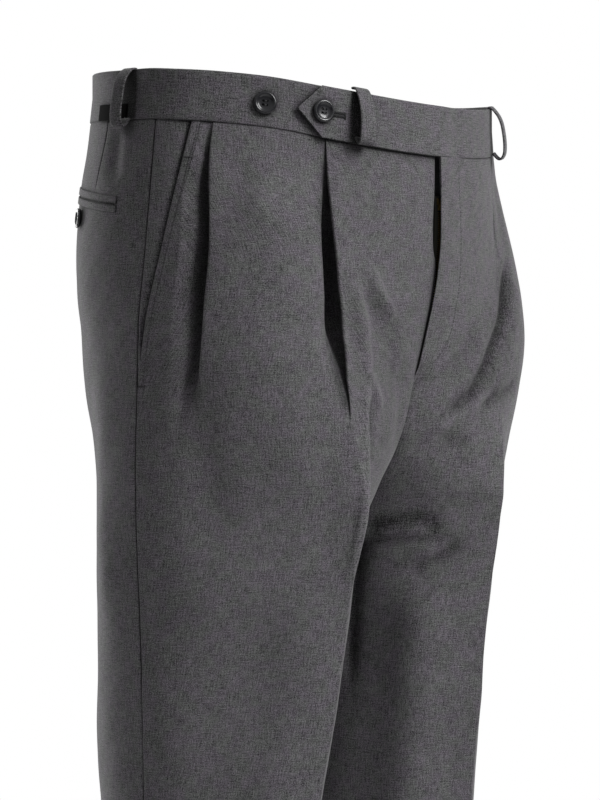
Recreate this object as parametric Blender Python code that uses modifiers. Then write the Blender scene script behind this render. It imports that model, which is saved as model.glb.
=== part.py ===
"""Double-pleated dress trousers in the form they take when worn.

Run with: blender --background --python part.py

The wearer faces -Y, +X is the wearer's left and +Z is up.  The origin is in the middle of the waist,
half way up the waistband.  The half body is described by lines that run from the waist to the hem
(outseam, creases, centre seams, inseam).  At each height a horizontal section joins those lines with
Bezier arcs, and every panel is a strip of that section, given its wall by a Solidify modifier.
"""

import math

import bmesh
import bpy
import numpy as np
from mathutils import Matrix, Vector

MM = 0.001

# Driving dimensions, in millimetres
CLOTH = 1.2            # wall of one cloth panel
SEAM_GAP = 0.3         # between pieces that are sewn together
BAND_HEIGHT = 35.0
BAND_CLOTH = 2.4       # waistband wall, interlined
TAB_CLOTH = 2.0        # wall of the extension that laps over the waistband
LOOP_CLOTH = 1.6
LOOP_WIDTH = 11.0
TRIM_CLOTH = 1.0
FORK_Z = -312.0        # where the two legs part
HEM_Z = -1085.0
FLY_END_Z = -198.0
POCKET_END_Z = -202.0
BUTTON_RADIUS = 7.8
BACK_BUTTON_RADIUS = 7.0
BUTTON_THICKNESS = 2.8
WOOL = (0.115, 0.112, 0.12, 1.0)

# Lines of the right half at height z, as (z, x, y)
OUTSEAM = [
    (0, -166, -27), (-60, -172, -26), (-110, -177, -25), (-157, -180, -22), (-200, -180, -21),
    (-250, -177, -17), (-312, -172, -13), (-380, -163, -8), (-490, -152, -1), (-640, -148, 3),
    (-860, -150, 3), (-1085, -154, 3),
]
HIP_LINE = [
    (0, -136.5, -83.4), (-40, -139.6, -88.2), (-60, -142.7, -92.3), (-80, -144.8, -96.6),
    (-97, -146, -100.3), (-118, -147, -104), (-134, -147.3, -106.5), (-157, -147, -109),
    (-180, -147, -108), (-201, -146, -105), (-245, -139.2, -98), (-290, -130.8, -89.4),
    (-350, -126, -83.7), (-385, -122.3, -78.3), (-420, -121.2, -76), (-455, -121.4, -74.7),
    (-490, -121.3, -72.7), (-640, -117, -66), (-860, -120, -66), (-1085, -125, -66),
]
FRONT_CREASE = [
    (0, -95, -116), (-60, -94, -119), (-97, -93, -122), (-134, -91, -126), (-201, -88, -131),
    (-245, -84, -136), (-275, -81, -138.5), (-290, -81.3, -137.2), (-312, -82, -133.8),
    (-336, -82.3, -129), (-360, -82.2, -125.2), (-385, -83, -121.4), (-420, -85.2, -116.5),
    (-490, -88.5, -105.2), (-640, -92, -101.5), (-860, -96, -101), (-1085, -101, -100),
]
BACK_CREASE = [
    (0, -93, 97), (-40, -91.3, 104.6), (-60, -90.5, 110.2), (-84, -89.6, 114.4), (-110, -88.5, 116.2),
    (-135, -87, 115.8), (-160, -85.5, 112.8), (-200, -84, 110), (-245, -83, 99.6), (-312, -83, 96),
    (-380, -84, 95.2), (-455, -86, 95), (-500, -86.5, 91.2), (-640, -91, 92), (-860, -96, 95),
    (-1085, -101, 98),
]
CENTRE_FRONT = [
    (0, 0, -139), (-60, 0, -140), (-97, 0, -139), (-140, 0, -134), (-194, 0, -119.5), (-235, 0, -108),
    (-262, 0, -91.5), (-280, 0, -72), (-300, 0, -43), (-309, 0, -14), (-312, 0, 12),
]
CENTRE_BACK = [
    (0, 0, 121), (-60, 0, 127), (-110, 0, 128), (-160, 0, 121), (-200, 0, 110), (-240, 0, 92),
    (-275, 0, 68), (-298, 0, 42), (-309, 0, 24), (-312, 0, 12),
]
INSEAM = [
    (-312, 0, 12), (-317, -3.5, 11), (-326, -7, 10), (-345, -11.5, 8), (-380, -17, 5),
    (-490, -25, -2), (-640, -34, -4), (-860, -43, -3), (-1085, -51, -2),
]
# Headings of the section in degrees (0 = outwards, 90 = backwards, 180 = back inwards), as
# (z, at the centre front, into the crease, out of it, at the hip line, at the outseam,
#  into the back crease, out of it, at the centre back)
HEADINGS = [
    (0, 0, 28, 28, 47, 88, 152, 152, 180),
    (-60, 0, 26, 24, 47, 88, 152, 154, 180),
    (-97, -2, 20, 12, 44, 88, 152, 156, 181),
    (-134, -5, 16, 8, 42, 88, 151, 158, 184),
    (-157, -8, 12, 8, 42, 89, 150, 160, 188),
    (-201, -18, 4, 14, 42, 90, 149, 164, 198),
    (-245, -34, -8, 24, 44, 90, 148, 172, 214),
    (-275, -52, -25, 30, 45, 90, 149, 179, 230),
    (-290, -65, -37, 32, 46, 90, 150, 182, 240),
    (-312, -90, -35, 34, 47, 90, 152, 186, 270),
    (-380, -90, -31, 34, 48, 90, 156, 192, 270),
    (-490, -90, -31, 32, 50, 90, 158, 198, 270),
    (-640, -90, -31, 30, 52, 90, 155, 204, 270),
    (-1085, -90, -30, 29, 52, 90, 152, 207, 270),
]
# The waist is higher at the back than at the front: (y, height added)
WAIST_LIFT = [
    (-139, -20.5), (-130, -17.5), (-115, -13.1), (-97, -8.4), (-70, -4.4), (-39, -1.6), (-22, -0.1),
    (5, 0.9), (35, 3.0), (79, 6.3), (128, 9.5),
]
LIFT_ENDS_Z = -150.0

# Pleats, folded towards the pocket, as
# (z, overlap under the fold, step between layers, open mouth, width, evened out from 0 to 1)
FRONT_PLEAT = [
    (-18, 18, 1.6, 0, 22, 0), (-34, 12, 1.9, 1.0, 22, 0), (-50, 6, 2.8, 3, 21, 0),
    (-70, 2.5, 4.5, 5.5, 20, 0), (-95, 1, 6.2, 7, 20, 0), (-125, 0.5, 6.5, 8.5, 21, 0),
    (-157, 0.3, 4.8, 10.5, 24, 0.15), (-190, 0, 2.6, 13, 28, 0.5), (-215, 0, 1.2, 14, 30, 0.8),
    (-240, 0, 0.3, 14, 30, 1), (-262, 0, 0, 14, 30, 1),
]
SIDE_PLEAT = [
    (-18, 15, 1.6, 0, 11, 0), (-34, 11, 1.8, 0.8, 11, 0), (-50, 7, 2.4, 2.5, 12, 0),
    (-70, 3, 3.6, 5, 16, 0), (-95, 1.5, 4.6, 7.5, 20, 0), (-125, 0.8, 4.6, 9.5, 23, 0),
    (-157, 0.4, 3.4, 11, 24, 0.15), (-190, 0, 2.0, 13, 25, 0.5), (-215, 0, 1.0, 14, 25, 0.8),
    (-240, 0, 0.3, 14, 25, 1), (-262, 0, 0, 14, 25, 1),
]
# Distance of the side pleat from the front crease, and of the pocket mouth from the outseam: (z, mm)
SIDE_PLEAT_PLACE = [(-18, 78), (-47, 83), (-108, 93), (-149, 103), (-187, 107), (-240, 108)]
SIDE_PLEAT_SHARE = 0.68   # of the way from crease to outseam, below the last row of that table
POCKET_MOUTH = [(-18, 28), (-77, 19), (-146, 8.5), (POCKET_END_Z, 0)]

# Heights of the panels' rows
PANEL_ROWS = [
    -17.8, -26, -36, -50, -70, -95, -125, -157, -178, -189, -198, -204, -222, -242, -262, -280, -294,
    -303, -309, -312, -317, -330, -360, -420, -500, -640, -860, HEM_Z,
]

# Belt loops: (name, side, distance along the waist from the centre front, clearance over what lies
# on the waistband, top row, lowest row)
LOOPS = [
    ("belt_loop_front_right", -1, 72.5, 2.3, 20.4, -18.6),
    ("belt_loop_side_right", -1, 243.0, 1.3, 18.9, -23.0),
    ("belt_loop_side_left", 1, 243.0, 0.0, 19.2, -21.5),
    ("belt_loop_front_left", 1, 101.0, 0.0, 18.9, -19.8),
    ("belt_loop_back", 1, None, 0.0, 19.4, -21.0),
]


# ---------------------------------------------------------------- curves and sections


def table_value(table, column, z):
    """Smooth value of one column of a table whose first column is z or y, clamped at its ends."""
    rows = sorted(table, key=lambda row: row[0])
    at = [row[0] for row in rows]
    value = [row[column] for row in rows]
    if z <= at[0]:
        return float(value[0])
    if z >= at[-1]:
        return float(value[-1])
    slope = [(value[i + 1] - value[i]) / (at[i + 1] - at[i]) for i in range(len(at) - 1)]
    tangent = [slope[0]]
    for i in range(1, len(slope)):
        before, after = at[i] - at[i - 1], at[i + 1] - at[i]
        tangent.append((slope[i - 1] * after + slope[i] * before) / (before + after))
    tangent.append(slope[-1])
    i = max(k for k in range(len(at) - 1) if at[k] <= z)
    step = at[i + 1] - at[i]
    t = (z - at[i]) / step
    return float(
        (1 + 2 * t) * (1 - t) ** 2 * value[i]
        + t * (1 - t) ** 2 * step * tangent[i]
        + t * t * (3 - 2 * t) * value[i + 1]
        + t * t * (t - 1) * step * tangent[i + 1]
    )


def smooth_step(t):
    t = min(1.0, max(0.0, t))
    return t * t * (3 - 2 * t)


def line_point(line, z):
    return np.array([table_value(line, 1, z), table_value(line, 2, z)])


def heading_vector(degrees):
    angle = math.radians(degrees)
    return np.array([-math.cos(angle), math.sin(angle)])


def arc(start, end, heading_out, heading_in, count):
    """Bezier arc whose handles are as long as those of a circle turning by the same angle."""
    turn = math.radians(min(150.0, abs(heading_in - heading_out)))
    reach = 1 / 3 if turn < 0.01 else (4 / 3 * math.tan(turn / 4)) / (2 * math.sin(turn / 2))
    handle = np.linalg.norm(end - start) * reach
    first = start + heading_vector(heading_out) * handle
    last = end - heading_vector(heading_in) * handle
    t = np.linspace(0, 1, count)[:, None]
    return (1 - t) ** 3 * start + 3 * t * (1 - t) ** 2 * first + 3 * t * t * (1 - t) * last + t**3 * end


class Section:
    """The right half of the body at one height, from the centre front (or inseam) round to the back.

    A place on it is its distance in mm along the cloth; `crease`, `outseam` and `end` are such places.
    """

    ARC_POINTS = 41

    def __init__(self, z):
        heading = [table_value(HEADINGS, column, z) for column in range(1, 9)]
        front = line_point(CENTRE_FRONT if z > FORK_Z else INSEAM, z)
        back = line_point(CENTRE_BACK if z > FORK_Z else INSEAM, z)
        # Both halves meet at x = 0, so the wall's own thickness is kept clear of that plane there
        front[0] -= (SEAM_GAP + CLOTH * abs(math.sin(math.radians(heading[0])))) / 2
        back[0] -= (SEAM_GAP + CLOTH * abs(math.sin(math.radians(heading[7])))) / 2
        stops = [
            front, line_point(FRONT_CREASE, z), line_point(HIP_LINE, z), line_point(OUTSEAM, z),
            line_point(BACK_CREASE, z), back,
        ]
        turns = [
            (heading[0], heading[1]), (heading[2], heading[3]), (heading[3], heading[4]),
            (heading[4], heading[5]), (heading[6], heading[7]),
        ]
        arcs = [
            arc(stops[i], stops[i + 1], *turns[i], self.ARC_POINTS)[(1 if i else 0):]
            for i in range(5)
        ]
        self.z = z
        self.points = np.vstack(arcs)
        steps = np.linalg.norm(np.diff(self.points, axis=0), axis=1)
        self.along = np.concatenate([[0.0], np.cumsum(steps)])
        last = self.ARC_POINTS - 1
        self.crease, self.outseam, self.back_crease = (self.along[last * k] for k in (1, 3, 4))
        self.end = self.along[-1]

    def at(self, place, out=0.0):
        """Point at a place along the section, moved out of it.  A place below 0 is past the centre front."""
        mirrored = place < 0 and self.z > FORK_Z
        place = abs(place) if mirrored else place
        point = np.array([np.interp(place, self.along, self.points[:, k]) for k in (0, 1)])
        reach = 2.0
        low, high = max(0.0, place - reach), min(self.end, place + reach)
        tangent = np.array(
            [np.interp(high, self.along, self.points[:, k]) - np.interp(low, self.along, self.points[:, k])
             for k in (0, 1)]
        )
        tangent /= np.linalg.norm(tangent)
        outward = np.array([-tangent[1], tangent[0]])
        point = point + outward * out
        return np.array([-point[0], point[1]]) if mirrored else point


def lift(y, z):
    """How much higher the cloth lies than its row, so that the waist dips to the front."""
    fade = 1 - smooth_step((z + BAND_HEIGHT / 2) / (LIFT_ENDS_Z + BAND_HEIGHT / 2))
    return table_value(WAIST_LIFT, 1, y) * fade


SECTIONS = {}


def section(z):
    if z not in SECTIONS:
        SECTIONS[z] = Section(z)
    return SECTIONS[z]


def on_body(z, place, out=0.0, side=-1):
    """Point on the worn surface in metres: row z, place along the cloth, moved out of it.

    side is -1 on the wearer's right and 1 on the left.
    """
    here = section(z)
    x, y = here.at(place, out)
    return Vector((x * -side, y, z + lift(here.at(place)[1], z))) * MM


# ---------------------------------------------------------------- objects and materials


def make_material(name, colour, roughness, metallic=0.0):
    material = bpy.data.materials.new(name)
    material.use_nodes = True
    shader = material.node_tree.nodes["Principled BSDF"]
    shader.inputs["Base Color"].default_value = colour
    shader.inputs["Roughness"].default_value = roughness
    shader.inputs["Metallic"].default_value = metallic
    material.diffuse_color = colour
    return material


def make_collection(name, hidden=False):
    collection = bpy.data.collections.new(name)
    bpy.context.scene.collection.children.link(collection)
    collection.hide_render = hidden
    return collection


def add_object(name, mesh, collection, material=None):
    thing = bpy.data.objects.new(name, mesh)
    collection.objects.link(thing)
    if material:
        mesh.materials.append(material)
    return thing


def grid_mesh(name, rows, flip=False):
    """Open surface through rows of points, each row with the same number of points."""
    mesh = bpy.data.meshes.new(name)
    builder = bmesh.new()
    corners = [[builder.verts.new(point) for point in row] for row in rows]
    for upper, lower in zip(corners, corners[1:]):
        for i in range(len(upper) - 1):
            face = [upper[i], upper[i + 1], lower[i + 1], lower[i]]
            builder.faces.new(face[::-1] if flip else face)
    builder.normal_update()
    builder.to_mesh(mesh)
    builder.free()
    mesh.shade_smooth()
    mesh.set_sharp_from_angle(angle=math.radians(50))
    return mesh


def add_cloth(name, rows, thickness, collection, material, flip=False):
    """A cloth wall: the open surface is the wall's middle, and Solidify gives it its thickness."""
    cloth = add_object(name, grid_mesh(name, rows, flip), collection, material)
    wall = cloth.modifiers.new("wall", "SOLIDIFY")
    wall.thickness = thickness * MM
    wall.offset = 0.0
    wall.use_even_offset = True
    return cloth


# ---------------------------------------------------------------- front panels


def side_pleat_place(z):
    here = section(z)
    reach = here.outseam - here.crease
    last = SIDE_PLEAT_PLACE[-1][0]
    if z >= last:
        return here.crease + table_value(SIDE_PLEAT_PLACE, 1, z)
    eased = smooth_step((last - z) / 120)
    return here.crease + (1 - eased) * SIDE_PLEAT_PLACE[-1][1] + eased * SIDE_PLEAT_SHARE * reach


def front_edge_place(z):
    """Where the front panel ends: at the slanted pocket mouth, and below it at the outseam."""
    return section(z).outseam - SEAM_GAP / 2 - max(0.0, table_value(POCKET_MOUTH, 1, z))


def pleat_profile(table, z):
    """Steps (along, out) of one pleat's fold, from its edge round under itself to the next panel."""
    overlap, step, mouth, width, evened = (table_value(table, column, z) for column in range(1, 6))
    step, overlap, mouth = max(0.0, step), max(0.0, overlap), max(0.0, mouth)
    turn = min(step / 2, 1.0)
    opened = smooth_step(mouth / 6)
    lower_layer = -2 * step
    folded = [
        (0.0, 0.0),
        (turn, -0.5 * step),
        (0.2 * turn, -step),
        (-overlap, -1.08 * step),
        (-overlap - turn, -1.5 * step),
        (-overlap + 0.3 * mouth, lower_layer),
        (0.75 * mouth, lower_layer * (1 - 0.15 * opened)),
        ((1 - opened) * width / 2 + opened * mouth, lower_layer * (0.5 - 0.2 * opened)),
        (width, 0.0),
    ]
    count = len(folded) - 1
    return [
        ((1 - evened) * along + evened * width * i / count, out)
        for i, (along, out) in enumerate(folded)
    ]


def fly_columns(z, side):
    """Places near the centre front: the left front laps over, the right one turns in beneath it."""
    if z <= FORK_Z:
        return [(SEAM_GAP / 2, 0.0), (6.0, 0.0), (20.0, 0.0)]
    if z < FLY_END_Z + 1:
        return [(0.0, 0.0), (6.0, 0.0), (20.0, 0.0)]
    apart = smooth_step((z - FLY_END_Z) / 12)
    lapped = smooth_step((z - FLY_END_Z - 9) / 24)
    if side > 0:
        return [(-2.0 * lapped, 2.8 * apart), (8.0, 2.4 * apart), (24.0, 1.0 * apart)]
    return [(-11.0 * lapped, -5.4 * apart), (2.5, -5.0 * apart), (6.5 + 1.5 * lapped, -0.7 * apart)]


def front_columns(z, side):
    """All (place, out) pairs across a front panel at one height."""
    here = section(z)
    side_pleat = side_pleat_place(z)
    edge = front_edge_place(z)
    columns = fly_columns(z, side)
    first = columns[-1][0]
    columns += [(first + (here.crease - first) * k / 5, 0.0) for k in range(1, 5)]
    columns += [(here.crease + along, out) for along, out in pleat_profile(FRONT_PLEAT, z)]
    start = columns[-1][0]
    columns += [(start + (side_pleat - start) * k / 6, 0.0) for k in range(1, 6)]
    columns += [(side_pleat + along, out) for along, out in pleat_profile(SIDE_PLEAT, z)]
    start = columns[-1][0]
    columns += [(start + (edge - start) * k / 3, 0.0) for k in range(1, 4)]
    return columns


def build_front(name, side, collection, material):
    rows = [[on_body(z, place, out, side) for place, out in front_columns(z, side)] for z in PANEL_ROWS]
    return add_cloth(name, rows, CLOTH, collection, material, flip=side > 0)


def build_pocket_facing(name, side, collection, material):
    """The cloth seen behind the pocket mouth; it passes under the front panel's edge."""
    under, clear, rise = 4.0, CLOTH + SEAM_GAP, 6.0
    rows = []
    for z in [row for row in PANEL_ROWS if row >= POCKET_END_Z + 5]:
        mouth = front_edge_place(z)
        end = section(z).outseam - SEAM_GAP / 2
        shown = smooth_step((end - mouth - 1.0) / rise)
        columns = [(mouth - under, -clear), (mouth - under / 2, -clear), (mouth + 0.6, -clear)]
        columns.append((mouth + 0.6 + (end - mouth - 0.6) * 0.45, -clear * (1 - 0.8 * shown)))
        columns.append((end, -clear * (1 - shown)))
        rows.append([on_body(z, place, out, side) for place, out in columns])
    return add_cloth(name, rows, CLOTH, collection, material, flip=side > 0)


# ---------------------------------------------------------------- back panels and their pockets

BACK_COLUMNS = 13
BACK_POCKET = {"start": 32.0, "length": 130.0, "height": -75.5, "slope": 0.095, "welt": 5.0, "slit": 0.6}


def build_back(name, side, collection, material):
    rows = []
    for z in PANEL_ROWS:
        here = section(z)
        first, last = here.outseam + SEAM_GAP / 2, here.end - (0 if z > FORK_Z else SEAM_GAP / 2)
        rows.append(
            [on_body(z, first + (last - first) * k / (BACK_COLUMNS - 1), 0.0, side)
             for k in range(BACK_COLUMNS)]
        )
    return add_cloth(name, rows, CLOTH, collection, material, flip=side > 0)


def pocket_height(along):
    """Row height of the back pocket's mouth at a distance behind the outseam, rising to the back."""
    return BACK_POCKET["height"] + BACK_POCKET["slope"] * (along - BACK_POCKET["start"])


def build_welt(name, side, upper, collection, material):
    """One lip of the back pocket: a strip that lies on the back panel."""
    inner = BACK_POCKET["slit"] / 2
    outer = inner + BACK_POCKET["welt"]
    out = CLOTH / 2 + SEAM_GAP + TRIM_CLOTH / 2
    edges = (outer, inner) if upper else (-inner, -outer)
    count = 14
    rows = []
    for edge in edges:
        row = []
        for k in range(count + 1):
            along = BACK_POCKET["start"] + BACK_POCKET["length"] * k / count
            z = pocket_height(along) + edge
            row.append(on_body(z, section(z).outseam + along, out, side))
        rows.append(row)
    return add_cloth(name, rows, TRIM_CLOTH, collection, material, flip=side > 0)


# ---------------------------------------------------------------- waistband

BAND_ROWS = [17.5, 6.0, -6.0, -17.5]
TAB = {"shoulder": 101.5, "tip": 118.6, "tip_row": -1.2, "blunt": 1.6}
BAND_OUT = BAND_CLOTH / 2
TAB_OUT = BAND_OUT + SEAM_GAP + TAB_CLOTH / 2


def on_band(row, place, out, side):
    """Point on the waistband; place is counted along the waist itself."""
    return on_body(row, place * section(row).end / section(0).end, out, side)


def build_band_right(collection, material):
    here = section(0)
    count = 30
    places = [1.0 + (here.end - 1.0) * k / count for k in range(count + 1)]
    rows = [[on_band(row, place, 0.0, -1) for place in places] for row in BAND_ROWS]
    return add_cloth("waistband_right", rows, BAND_CLOTH, collection, material)


def build_band_left(collection, material):
    """The left waistband runs on past the centre front as a pointed tab that laps over the right one."""
    end = section(0).end
    ramp = 26.0
    places = [end * (1 - k / 26) for k in range(25)] + [14.0, 6.0, 1.0]
    columns = []
    for place in places:
        out = TAB_OUT * (1 - smooth_step(place / ramp))
        columns.append([on_band(row, place, out, 1) for row in BAND_ROWS])
    for place in [8, 20, 33, 46, 60, 74, 88, TAB["shoulder"], 107.5, 113.5, TAB["tip"]]:
        taper = max(0.0, (place - TAB["shoulder"]) / (TAB["tip"] - TAB["shoulder"]))
        high = BAND_ROWS[0] + (TAB["tip_row"] + TAB["blunt"] / 2 - BAND_ROWS[0]) * taper
        low = BAND_ROWS[-1] + (TAB["tip_row"] - TAB["blunt"] / 2 - BAND_ROWS[-1]) * taper
        steps = [high + (low - high) * k / 3 for k in range(4)]
        columns.append([on_band(row, -place, TAB_OUT, 1) for row in steps])
    rows = [[column[k] for column in columns] for k in range(4)]
    return add_cloth("waistband_left", rows, TAB_CLOTH, collection, material)


def build_label(collection, material):
    """Small woven label on the right waistband, just above its seam; the side belt loop crosses it."""
    out = BAND_OUT + SEAM_GAP + TRIM_CLOTH / 2
    start, length = section(0).outseam + 20.0, 42.0
    places = [start + length * k / 6 for k in range(7)]
    rows = [[on_band(row, place, out, -1) for place in places] for row in (-6.0, -17.6)]
    return add_cloth("side_label", rows, TRIM_CLOTH, collection, material)


# Middle line of a belt loop, as (distance out of the waistband's face, row)
LOOP_LINE = [
    (-2.0, 19.0), (0.2, 19.4), (1.6, 18.0), (2.2, 14.5), (4.0, 10.5), (7.0, 4.5), (9.2, -4.0),
    (10.0, -11.5), (9.2, -16.5), (6.6, -19.6), (3.6, -18.2), (1.15, -14.6),
]


def loop_row(row, top, low):
    """The loop's middle stays as drawn; its two bends are moved to the rows given."""
    first_top, last_low = LOOP_LINE[1][1], LOOP_LINE[9][1]
    if row > 10:
        return 10 + (row - 10) * (top - 10) / (first_top - 10)
    if row < -5:
        return -5 + (row + 5) * (low + 5) / (last_low + 5)
    return row


def build_loop(name, side, place, raised, top, low, collection, material):
    """A belt loop: folded over the waistband's top edge, bowed out, turned back up into its seam."""
    here = section(0)
    if place is None:
        place = here.end
    rows = []
    for out, drawn_row in LOOP_LINE:
        lifted = raised if drawn_row < 16 or out > 1 else 0.0
        row = []
        for across in (-0.5, 0.0, 0.5):
            spot = place + across * LOOP_WIDTH
            other = spot > here.end
            spot = 2 * here.end - spot if other else spot
            row.append(
                on_band(loop_row(drawn_row, top, low), spot, BAND_OUT + out + lifted, -side if other else side)
            )
        rows.append(row)
    return add_cloth(name, rows, LOOP_CLOTH, collection, material, flip=side > 0)


# ---------------------------------------------------------------- zip

ZIP = {"top": -48.0, "bottom": -166.0, "tape_from": 1.0, "tape_to": 20.0, "chain": 6.0}


def zip_strip(name, first, last, top, bottom, out, thickness, collection, material):
    rows = []
    count = 7
    for k in range(count + 1):
        z = top + (bottom - top) * k / count
        rows.append([on_body(z, place, out, 1) for place in (first, (first + last) / 2, last)])
    return add_cloth(name, rows, thickness, collection, material, flip=True)


def build_zip(collection, cloth, metal):
    """Zip under the left front: tape, closed chain, and the slider with its pull folded flat."""
    zip_strip("zip_tape", ZIP["tape_from"], ZIP["tape_to"], ZIP["top"], ZIP["bottom"], -2.9, 1.0,
              collection, cloth)
    middle = ZIP["chain"]
    zip_strip("zip_chain", middle - 2.4, middle + 2.4, ZIP["top"] - 14, ZIP["bottom"] + 3, -1.4, 1.2,
              collection, metal)
    zip_strip("zip_slider", middle - 4.0, middle + 4.0, ZIP["top"] - 2, ZIP["top"] - 13, -1.1, 1.8,
              collection, metal)


# ---------------------------------------------------------------- buttons


def button_mesh(name, radius):
    """Turned four-hole button: raised rim, dished middle, flat back."""
    thickness = BUTTON_THICKNESS
    profile = [
        (0, 1.7), (0.52 * radius, 1.7), (0.64 * radius, 2.0), (0.76 * radius, thickness),
        (0.90 * radius, thickness), (radius, thickness - 0.9), (radius, 0.9), (0.86 * radius, 0.0), (0, 0),
    ]
    mesh = bpy.data.meshes.new(name + "_profile")
    builder = bmesh.new()
    verts = [builder.verts.new(Vector((r, 0, h)) * MM) for r, h in profile]
    for first, second in zip(verts, verts[1:]):
        builder.edges.new((first, second))
    builder.to_mesh(mesh)
    builder.free()
    return mesh


def build_button(name, radius, matrix, collection, cutters, material):
    button = add_object(name, button_mesh(name, radius), collection, material)
    turned = button.modifiers.new("turned", "SCREW")
    turned.axis = "Z"
    turned.angle = math.tau
    turned.steps = turned.render_steps = 24
    turned.use_merge_vertices = True
    turned.merge_threshold = 0.00005
    turned.use_smooth_shade = True
    drill = bpy.data.meshes.new(name + "_drill")
    builder = bmesh.new()
    for corner in range(4):
        angle = math.pi / 4 + corner * math.pi / 2
        place = Matrix.Translation(Vector((math.cos(angle), math.sin(angle), 0.5)) * 1.9 * MM)
        bmesh.ops.create_cone(builder, cap_ends=True, segments=8, radius1=0.85 * MM, radius2=0.85 * MM,
                              depth=8 * MM, matrix=place)
    builder.to_mesh(drill)
    builder.free()
    cutter = add_object(name + "_drill", drill, cutters)
    cutter.hide_render = True
    cutter.display_type = "WIRE"
    holes = button.modifiers.new("holes", "BOOLEAN")
    holes.operation = "DIFFERENCE"
    holes.object = cutter
    holes.solver = "EXACT"
    button.matrix_world = matrix
    cutter.matrix_world = matrix
    return button


def standing_on(spot, reach, lifted):
    """Frame with +Z out of the cloth, lifted off it; spot(across, up) gives a point near its middle."""
    x_axis = (spot(reach, 0) - spot(-reach, 0)).normalized()
    upward = spot(0, reach) - spot(0, -reach)
    z_axis = x_axis.cross(upward).normalized()
    y_axis = z_axis.cross(x_axis)
    turn = Matrix((x_axis, y_axis, z_axis)).transposed().to_4x4()
    return Matrix.Translation(spot(0, 0) + z_axis * lifted * MM) @ turn


def build_buttons(collection, cutters, material):
    """Fastening and spare button on the waistband, and one under each back pocket."""
    clear = SEAM_GAP + 0.15
    for name, place, row, out in (
        ("waist_button_spare", 140.5, -1.3, BAND_OUT),
        ("waist_button", 101.4, -0.3, TAB_OUT + TAB_CLOTH / 2),
    ):
        def band_spot(across, up, place=place, row=row, out=out):
            return on_band(row + up, place - across, out, -1)

        matrix = standing_on(band_spot, BUTTON_RADIUS, clear)
        build_button(name, BUTTON_RADIUS, matrix, collection, cutters, material)
    along = BACK_POCKET["start"] + 62.0
    row = pocket_height(along) - 14.0
    for name, side in (("back_button_right", -1), ("back_button_left", 1)):
        def seat_spot(across, up, side=side):
            here = section(row + up)
            return on_body(row + up, here.outseam + along + side * across, CLOTH / 2, side)

        matrix = standing_on(seat_spot, BACK_BUTTON_RADIUS, clear)
        build_button(name, BACK_BUTTON_RADIUS, matrix, collection, cutters, material)


# ---------------------------------------------------------------- the whole garment


def main():
    for thing in list(bpy.data.objects):
        bpy.data.objects.remove(thing)
    trousers = make_collection("pleated_trousers")
    cutters = make_collection("cutters", hidden=True)
    wool = make_material("charcoal_wool", WOOL, 0.85)
    horn = make_material("black_button", (0.012, 0.012, 0.014, 1.0), 0.25)
    brass = make_material("antique_brass", (0.20, 0.16, 0.07, 1.0), 0.4, 0.9)
    black = make_material("black_weave", (0.01, 0.01, 0.011, 1.0), 0.6)

    for name, side in (("right", -1), ("left", 1)):
        build_front("front_" + name, side, trousers, wool)
        build_back("back_" + name, side, trousers, wool)
        build_pocket_facing("pocket_facing_" + name, side, trousers, wool)
        build_welt("back_welt_upper_" + name, side, True, trousers, wool)
        build_welt("back_welt_lower_" + name, side, False, trousers, wool)
    build_band_right(trousers, wool)
    build_band_left(trousers, wool)
    for name, side, place, raised, top, low in LOOPS:
        build_loop(name, side, place, raised, top, low, trousers, wool)
    build_label(trousers, black)
    build_zip(trousers, black, brass)
    build_buttons(trousers, cutters, horn)


main()
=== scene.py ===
"""Looks of the double-pleated dress trousers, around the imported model.

The cloth pieces follow the same lines of the body as the solids, in millimetres, with finer rows and
columns.  On top of that form come rolled edges, seams, soft folds, stitches and a woven wool surface.
The wearer faces -Y, +X is the wearer's left and +Z is up; the origin is half way up the waistband.
"""

import functools
import math

import bmesh
import bpy
import numpy as np
from mathutils import Matrix, Vector

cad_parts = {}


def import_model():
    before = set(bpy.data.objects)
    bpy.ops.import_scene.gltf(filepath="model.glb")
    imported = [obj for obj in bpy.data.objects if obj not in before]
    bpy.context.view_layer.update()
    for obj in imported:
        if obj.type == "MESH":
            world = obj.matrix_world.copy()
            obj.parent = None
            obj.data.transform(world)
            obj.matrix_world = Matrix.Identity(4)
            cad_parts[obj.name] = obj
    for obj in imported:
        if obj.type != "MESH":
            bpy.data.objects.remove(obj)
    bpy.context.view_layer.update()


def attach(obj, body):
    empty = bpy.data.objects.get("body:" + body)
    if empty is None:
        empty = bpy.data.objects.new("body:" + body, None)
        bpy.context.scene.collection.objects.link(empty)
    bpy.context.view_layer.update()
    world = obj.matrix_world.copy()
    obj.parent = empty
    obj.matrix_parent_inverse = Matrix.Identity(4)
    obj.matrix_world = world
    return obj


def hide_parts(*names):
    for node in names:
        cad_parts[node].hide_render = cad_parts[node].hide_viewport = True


MM = 0.001

# Sizes shared with the solids, in millimetres
CLOTH = 1.2
SEAM_GAP = 0.3
BAND_HEIGHT = 35.0
BAND_CLOTH = 2.4
TAB_CLOTH = 2.0
LOOP_CLOTH = 1.6
LOOP_WIDTH = 11.0
FORK_Z = -312.0
HEM_Z = -1085.0
FLY_END_Z = -198.0
POCKET_END_Z = -202.0
BUTTON_RADIUS = 7.8
BACK_BUTTON_RADIUS = 7.0
BUTTON_THICKNESS = 2.8
BAND_OUT = BAND_CLOTH / 2
TAB_OUT = BAND_OUT + SEAM_GAP + TAB_CLOTH / 2
FACE = CLOTH / 2       # the visible face of a panel, out from the middle of its wall

BACK_POCKET = {"start": 32.0, "length": 130.0, "height": -75.5, "slope": 0.095, "welt": 5.0, "slit": 1.2}
TAB = {"shoulder": 101.5, "tip": 118.6, "tip_row": -1.2, "blunt": 1.6}
ZIP = {"top": -48.0, "bottom": -166.0, "tape_from": 1.0, "tape_to": 20.0, "chain": 6.0}

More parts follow.
